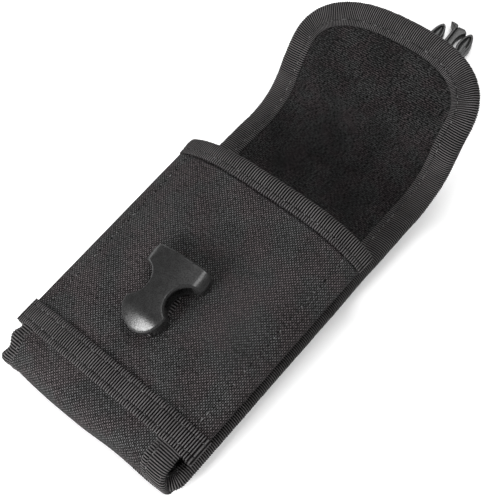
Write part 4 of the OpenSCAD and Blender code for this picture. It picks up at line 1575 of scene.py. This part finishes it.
@dataclass
class Socket:
    """The buckle's socket: a round lobe over its bar, a waist, and two wings at its mouth."""

    seat: Matrix
    length: float = 35.0 * MM
    width: float = 28.4 * MM
    height: float = 8.6 * MM
    lobe_r: float = 9.8 * MM
    waist: float = 10.6 * MM
    scoop_r: float = 8.6 * MM
    scoop_y: float = 17.95 * MM
    corner: float = 3.2 * MM
    tip: float = 1.7 * MM
    crown_r: float = 44 * MM
    bar_y: float = 4.8 * MM
    lift: float = 1.3 * MM
    rise: float = 1.51 * MM
    soft: float = 0.8 * MM
    floor: float = 1.2 * MM
    cavity: tuple = (21 * MM, 5.2 * MM)
    web: float = 14.8 * MM
    slope_start: float = 8.5 * MM
    slope_drop: float = 4.6 * MM
    shoulder: float = 9.6 * MM
    shoulder_drop: float = 2.0 * MM

    def side(self, d: float) -> list[tuple[float, float]]:
        """The right half of the outline, pulled in by d, from the lobe's end to the mouth's middle.

        Args:
            d: How far it is pulled in.

        Returns:
            The points, each (x, y).
        """
        lobe, scoop = self.lobe_r - d, self.scoop_r + d
        scoop_x = self.waist / 2 + self.scoop_r
        points = [(lobe * math.sin(math.radians(a)), self.lobe_r - lobe * math.cos(math.radians(a)))
                  for a in range(0, 91, 6)]
        low = math.sqrt(scoop ** 2 - (scoop_x - lobe) ** 2)
        wing_x = self.width / 2 - d
        high = math.sqrt(scoop ** 2 - (wing_x - scoop_x) ** 2)
        start = math.atan2(-low, lobe - scoop_x) % (2 * math.pi)
        end = math.atan2(high, wing_x - scoop_x) + self.tip / scoop
        points += [(lobe, self.lobe_r + (self.scoop_y - low - self.lobe_r) * k / 3) for k in (1, 2)]
        points += [(scoop_x + scoop * math.cos(a), self.scoop_y + scoop * math.sin(a))
                   for a in [start + (end - start) * k / 22 for k in range(23)]]
        after = self.scoop_y + high + self.tip
        before, past = Vector(points[-1]), Vector((wing_x, after))
        sharp = Vector((wing_x, self.scoop_y + high))
        points += [tuple(before.lerp(sharp, k / 5).lerp(sharp.lerp(past, k / 5), k / 5)) for k in range(1, 6)]
        centre, r = (self.width / 2 - self.corner, self.length - self.corner), self.corner - d
        points += [(wing_x, after + (centre[1] - after) * k / 3) for k in (1, 2)]
        points += arc(*centre, r, range(0, 91, 15))
        return [*points, (centre[0] / 2, self.length - d), (0, self.length - d)]

    def outline(self, d: float) -> list[tuple[float, float]]:
        """The whole outline, pulled in by d."""
        right = self.side(d)
        return [*right, *[(-x, y) for x, y in reversed(right[1:-1])]]

    def top(self, x: float, y: float) -> float:
        """The height of the top, crowned across and sloping down to the lobe's end."""
        crown = self.crown_r - math.sqrt(self.crown_r ** 2 - x ** 2)
        slope = max(self.slope_start - y, 0.0) / self.slope_start
        wing = max(abs(x) - self.shoulder, 0.0) / (self.width / 2 - self.shoulder)
        return self.height - crown - self.slope_drop * slope ** 1.5 - self.shoulder_drop * wing ** 2

    def solid(self) -> bmesh.types.BMesh:
        """The body without its hollows."""
        chamfer = ((1.0, 0.0), (0.72, 0.09), (0.66, 0.15), (0.15, 0.66), (0.09, 0.72), (0.0, 1.0))
        levels = [(0.0, 0.5 * MM), (0.5 * MM, 0.0)]
        levels += [(self.height - self.soft * down, self.soft * inwards) for down, inwards in chamfer]
        bm = lofted([[(x, y, z) for x, y in self.outline(d)] for z, d in levels])
        long, half = round(self.length / MM), math.floor(self.width / 2 / MM)
        cuts = [((0, y * MM, 0), (0, 1, 0)) for y in range(1, long)]
        cuts += [((x * MM, 0, 0), (1, 0, 0)) for x in range(1 - half, half)]
        for where, normal in cuts:
            lid = [f for f in bm.faces if f.calc_center_median().z > self.height - TINY]
            geom = {*lid, *[e for f in lid for e in f.edges], *[v for f in lid for v in f.verts]}
            bmesh.ops.bisect_plane(bm, geom=list(geom), plane_co=where, plane_no=normal)
        base = 1.0 * MM
        for vert in bm.verts:
            if vert.co.z > base:
                share = (self.top(vert.co.x, vert.co.y) - base) / (self.height - base)
                vert.co.z = base + (vert.co.z - base) * share
        bmesh.ops.recalc_face_normals(bm, faces=bm.faces)
        return bm

    def build(self, finishes: Finishes) -> None:
        """Carves the mouth's cavity and the bar's room, and adds the bar."""
        wide, tall = self.cavity
        mouth = block((-wide / 2, self.lobe_r + 4 * MM, self.floor),
                      (wide / 2, self.length + 2 * MM, self.floor + tall), 0)
        room = RING_R + 0.4 * MM
        over = arc(self.bar_y, self.rise, room, range(0, 181, 15))
        slot = prism([*over, (self.bar_y - room, -2 * MM), (self.bar_y + room, -2 * MM)],
                     -self.web / 2, self.web / 2, 0)
        bmesh.ops.transform(slot, verts=slot.verts, matrix=STANDING)
        relief = block((-self.width, -2 * MM, -2 * MM), (self.width, self.bar_y - BAR_R, 2.4 * MM), 0)
        body = carved(self.solid(), [mouth, slot, relief])
        bar = rod(BAR_R, self.web / 2 + 0.5 * MM, self.bar_y, self.rise)
        whole = gathered([body, bar])
        bmesh.ops.transform(whole, verts=whole.verts,
                            matrix=self.seat @ Matrix.Translation((0, -self.bar_y, self.lift)))
        finishes.dress(whole, "buckle_socket", Slot.PLASTIC, ["socket"], Body.SOCKET, crease=35.0)


@dataclass
class Clip:
    """The buckle's clip: a base on a bar, two springy prongs with oval pads, and a guide between them."""

    seat: Vector
    length: float = 33.5 * MM
    base_w: float = 21 * MM
    width: float = 24.4 * MM
    height: float = 5 * MM
    prong_t: float = 4.4 * MM
    cheek: float = 7.4 * MM
    base_y: float = 8 * MM
    base_len: float = 5 * MM
    pad_w: float = 6.6 * MM
    pad_len: float = 18 * MM
    pad_past: float = 0.9 * MM
    arm: float = 2.6 * MM
    rim: float = 1.3 * MM
    recess: float = 1.3 * MM
    hollow: tuple = ((0.0, 0.08), (0.06, 0.5), (0.2, 0.75), (0.45, 0.92), (0.7, 0.99), (0.93, 1.0))
    guide_w: float = 4.6 * MM
    rail_w: float = 1.3 * MM
    rail_reach: float = 3.6 * MM

    def prong(self) -> list[bmesh.types.BMesh]:
        """The right-hand prong, with a recess in both faces of its pad, and its arm."""
        x, y = self.width / 2 - self.pad_w / 2 - 1.1 * MM, self.length - self.pad_len / 2 + self.pad_past
        half = self.prong_t / 2
        soft = 0.4 * MM
        dish = [(self.rim + run * (self.pad_w / 2 - self.rim), half - deep * self.recess)
                for run, deep in self.hollow]
        top = [(0.0, 0.0), (0.0, half - soft), (0.3 * soft, half - 0.3 * soft), (soft, half),
               (self.rim - 0.2 * MM, half), *dish]
        levels = [*[(pull, -z) for pull, z in reversed(top)], *top[1:]]
        ovals = [(oval(self.pad_len - 2.6 * pull, self.pad_w - 2 * pull), z) for pull, z in levels]
        pad = lofted([[(x + px, y + py, z) for px, py in ring] for ring, z in ovals])
        foot = self.base_y + self.base_len - 1 * MM
        arm = prism([(self.base_w / 2 - self.arm, foot), (self.base_w / 2, foot),
                     (x + self.pad_w / 2 - 0.2 * MM, y - self.pad_len / 8),
                     (x + self.pad_w / 2 - self.arm, y)], -half + 0.1 * MM, half - 0.1 * MM, 0.3 * MM)
        return [pad, arm]

    def guide(self) -> list[bmesh.types.BMesh]:
        """The guide's slab with its broader head, and the hooked rail along its left side."""
        low, end = self.base_y + 1 * MM, self.length + self.rail_reach
        left, right = -self.guide_w / 2, self.guide_w / 2
        split, flat = left + self.rail_w, self.prong_t / 2 - 0.6 * MM
        slab = [(split, low), (right, low), (right, end - 9 * MM), (right + 0.8 * MM, end - 5.5 * MM),
                (right + 2.5 * MM, end - 3.4 * MM), (right + 2.4 * MM, end - 2.2 * MM),
                (right + 0.8 * MM, end - 0.6 * MM), (split + 0.6 * MM, end - 0.4 * MM),
                (split, end - 1.1 * MM)]
        rail = [(left, low), (split, low), (split, end - 0.4 * MM), (split - 0.6 * MM, end + 0.3 * MM),
                (left - 1.8 * MM, end + 0.9 * MM), (left - 3.2 * MM, end + 0.7 * MM),
                (left - 1.6 * MM, end - 0.8 * MM), (left, end - 2.2 * MM)]
        return [prism(slab, -flat, flat, 0.5 * MM),
                prism(rail, -self.prong_t / 2, self.prong_t / 2, 0.25 * MM)]

    def build(self, finishes: Finishes) -> None:
        """Builds the whole clip."""
        half, low = self.base_w / 2, self.base_y
        tall = self.height / 2 - 0.2 * MM
        parts = [rod(BAR_R, self.cheek + 0.5 * MM, 0, 0)]
        side = prism([*arc(0, 0, tall, range(90, 271, 15)), (low + 1 * MM, -tall), (low + 1 * MM, tall)],
                     self.cheek, half, 0.3 * MM)
        bmesh.ops.transform(side, verts=side.verts, matrix=STANDING)
        right = [side, *self.prong()]
        parts += [mirrored(part) for part in right] + right
        parts.append(block((-half, low, -self.height / 2),
                           (half, low + self.base_len, self.height / 2), 0.7 * MM))
        parts += self.guide()
        whole = gathered(parts)
        bmesh.ops.transform(whole, verts=whole.verts,
                            matrix=Matrix.Translation(self.seat) @ Matrix.Rotation(CLIP_ASKEW, 4, "Z"))
        finishes.dress(whole, "buckle_clip", Slot.PLASTIC, ["clip"], Body.CLIP, crease=35.0)


# The studio


@dataclass(frozen=True)
class Softbox:
    """A square light that faces the pouch."""

    name: str
    towards: tuple[float, float, float]
    distance: float
    size: float
    power: float

    def hang(self, aim: Vector) -> None:
        """Hangs the light."""
        data = bpy.data.lights.new(self.name, "AREA")
        data.shape, data.size = "SQUARE", self.size
        data.energy = self.power
        lamp = bpy.data.objects.new(self.name, data)
        away = Vector(self.towards).normalized()
        turn = away.to_track_quat("Z", "Y").to_matrix().to_4x4()
        lamp.matrix_world = Matrix.Translation(aim + away * self.distance) @ turn
        bpy.context.scene.collection.objects.link(lamp)


LIGHTS = (
    Softbox("low_front", (-0.11, -0.91, 0.38), 0.8, 0.36, 8.8),
    Softbox("low_right", (0.82, -0.30, 0.20), 0.9, 0.22, 0.1),
    Softbox("beside_camera", (0.49, 0.10, 0.86), 1.0, 0.34, 2.6),
    Softbox("key", (-0.12, 0.50, 1.05), 2.0, 0.77, 16.3),
    Softbox("behind", (-0.21, 0.77, 0.60), 1.03, 0.36, 1.2),
)


def light_world() -> None:
    """A pale world: white to the camera, plainer as a light and in reflections."""
    world = bpy.data.worlds.new("studio")
    bpy.context.scene.world = world
    world.use_nodes = True
    tree = world.node_tree
    tree.nodes.clear()
    seen, lit = (tree.nodes.new("ShaderNodeBackground") for _ in range(2))
    seen.inputs["Strength"].default_value = 1.0
    lit.inputs["Strength"].default_value = 0.25
    rays, mix = tree.nodes.new("ShaderNodeLightPath"), tree.nodes.new("ShaderNodeMixShader")
    out = tree.nodes.new("ShaderNodeOutputWorld")
    tree.links.new(rays.outputs["Is Camera Ray"], mix.inputs[0])
    tree.links.new(lit.outputs[0], mix.inputs[1])
    tree.links.new(seen.outputs[0], mix.inputs[2])
    tree.links.new(mix.outputs[0], out.inputs[0])


def lay_floor() -> None:
    """A white table under the pouch."""
    bm = bmesh.new()
    bmesh.ops.create_grid(bm, x_segments=1, y_segments=1, size=2.0)
    g = Graph("white_table")
    shine, rays = g.node("ShaderNodeEmission"), g.node("ShaderNodeLightPath")
    g.shader.inputs["Base Color"].default_value = grey(0.92)
    g.shader.inputs["Roughness"].default_value = 0.9
    g.shader.inputs["Specular IOR Level"].default_value = 0.0
    g.put(shine.inputs["Strength"], g.math("MULTIPLY", rays.outputs["Is Camera Ray"], 0.26))
    both = g.node("ShaderNodeAddShader")
    out = next(n for n in g.tree.nodes if n.type == "OUTPUT_MATERIAL")
    g.put(both.inputs[0], g.shader.outputs[0])
    g.put(both.inputs[1], shine.outputs[0])
    g.put(out.inputs["Surface"], both.outputs[0])
    object_of(bm, "table_top", g.material)


def set_camera() -> None:
    """Sets the camera where the photograph was taken from."""
    data = bpy.data.cameras.new("camera")
    data.sensor_width, data.lens = CAMERA_SENSOR, CAMERA_LENS
    camera = bpy.data.objects.new("camera", data)
    back = CAMERA_BACK.normalized()
    up = back.cross(CAMERA_RIGHT).normalized()
    turn = Matrix((up.cross(back), up, back)).transposed().to_4x4()
    camera.matrix_world = Matrix.Translation(CAMERA_AT) @ turn
    bpy.context.scene.collection.objects.link(camera)
    bpy.context.scene.camera = camera


def main() -> None:
    """Builds the pouch, then the stage, lights and camera."""
    logging.basicConfig(level=logging.INFO, format="%(message)s")
    finishes, tape = Finishes(), Tape()
    back, front = BackSheet(), FrontPanel()
    back.build(finishes, tape)
    front.build(finishes, tape)
    SideWalls(front, back).build(finishes, tape)
    BottomStrip(front).build(finishes, tape)
    slope = math.atan2(front.mid(front.length) - front.mid(0), front.length)
    socket_seat = (Matrix.Translation(sewn(BUCKLE_X, SOCKET_Y, front.mid(SOCKET_Y)))
                   @ Matrix.Rotation(slope, 4, "X") @ Matrix.Translation(SOCKET_PIVOT)
                   @ Matrix.Rotation(SOCKET_ASKEW, 4, "Z") @ Matrix.Translation(-SOCKET_PIVOT))
    clip_seat = Vector((BUCKLE_X, SEWING_ORIGIN.y + front.length + CLIP_REACH, RING_R))
    Webbing(back).build(finishes, socket_seat, clip_seat)
    Socket(socket_seat).build(finishes)
    Clip(clip_seat).build(finishes)
    lay_floor()
    light_world()
    for light in LIGHTS:
        light.hang(AIM)
    set_camera()
    bpy.context.scene.view_settings.view_transform = "Standard"


if __name__ == "__main__":
    main()
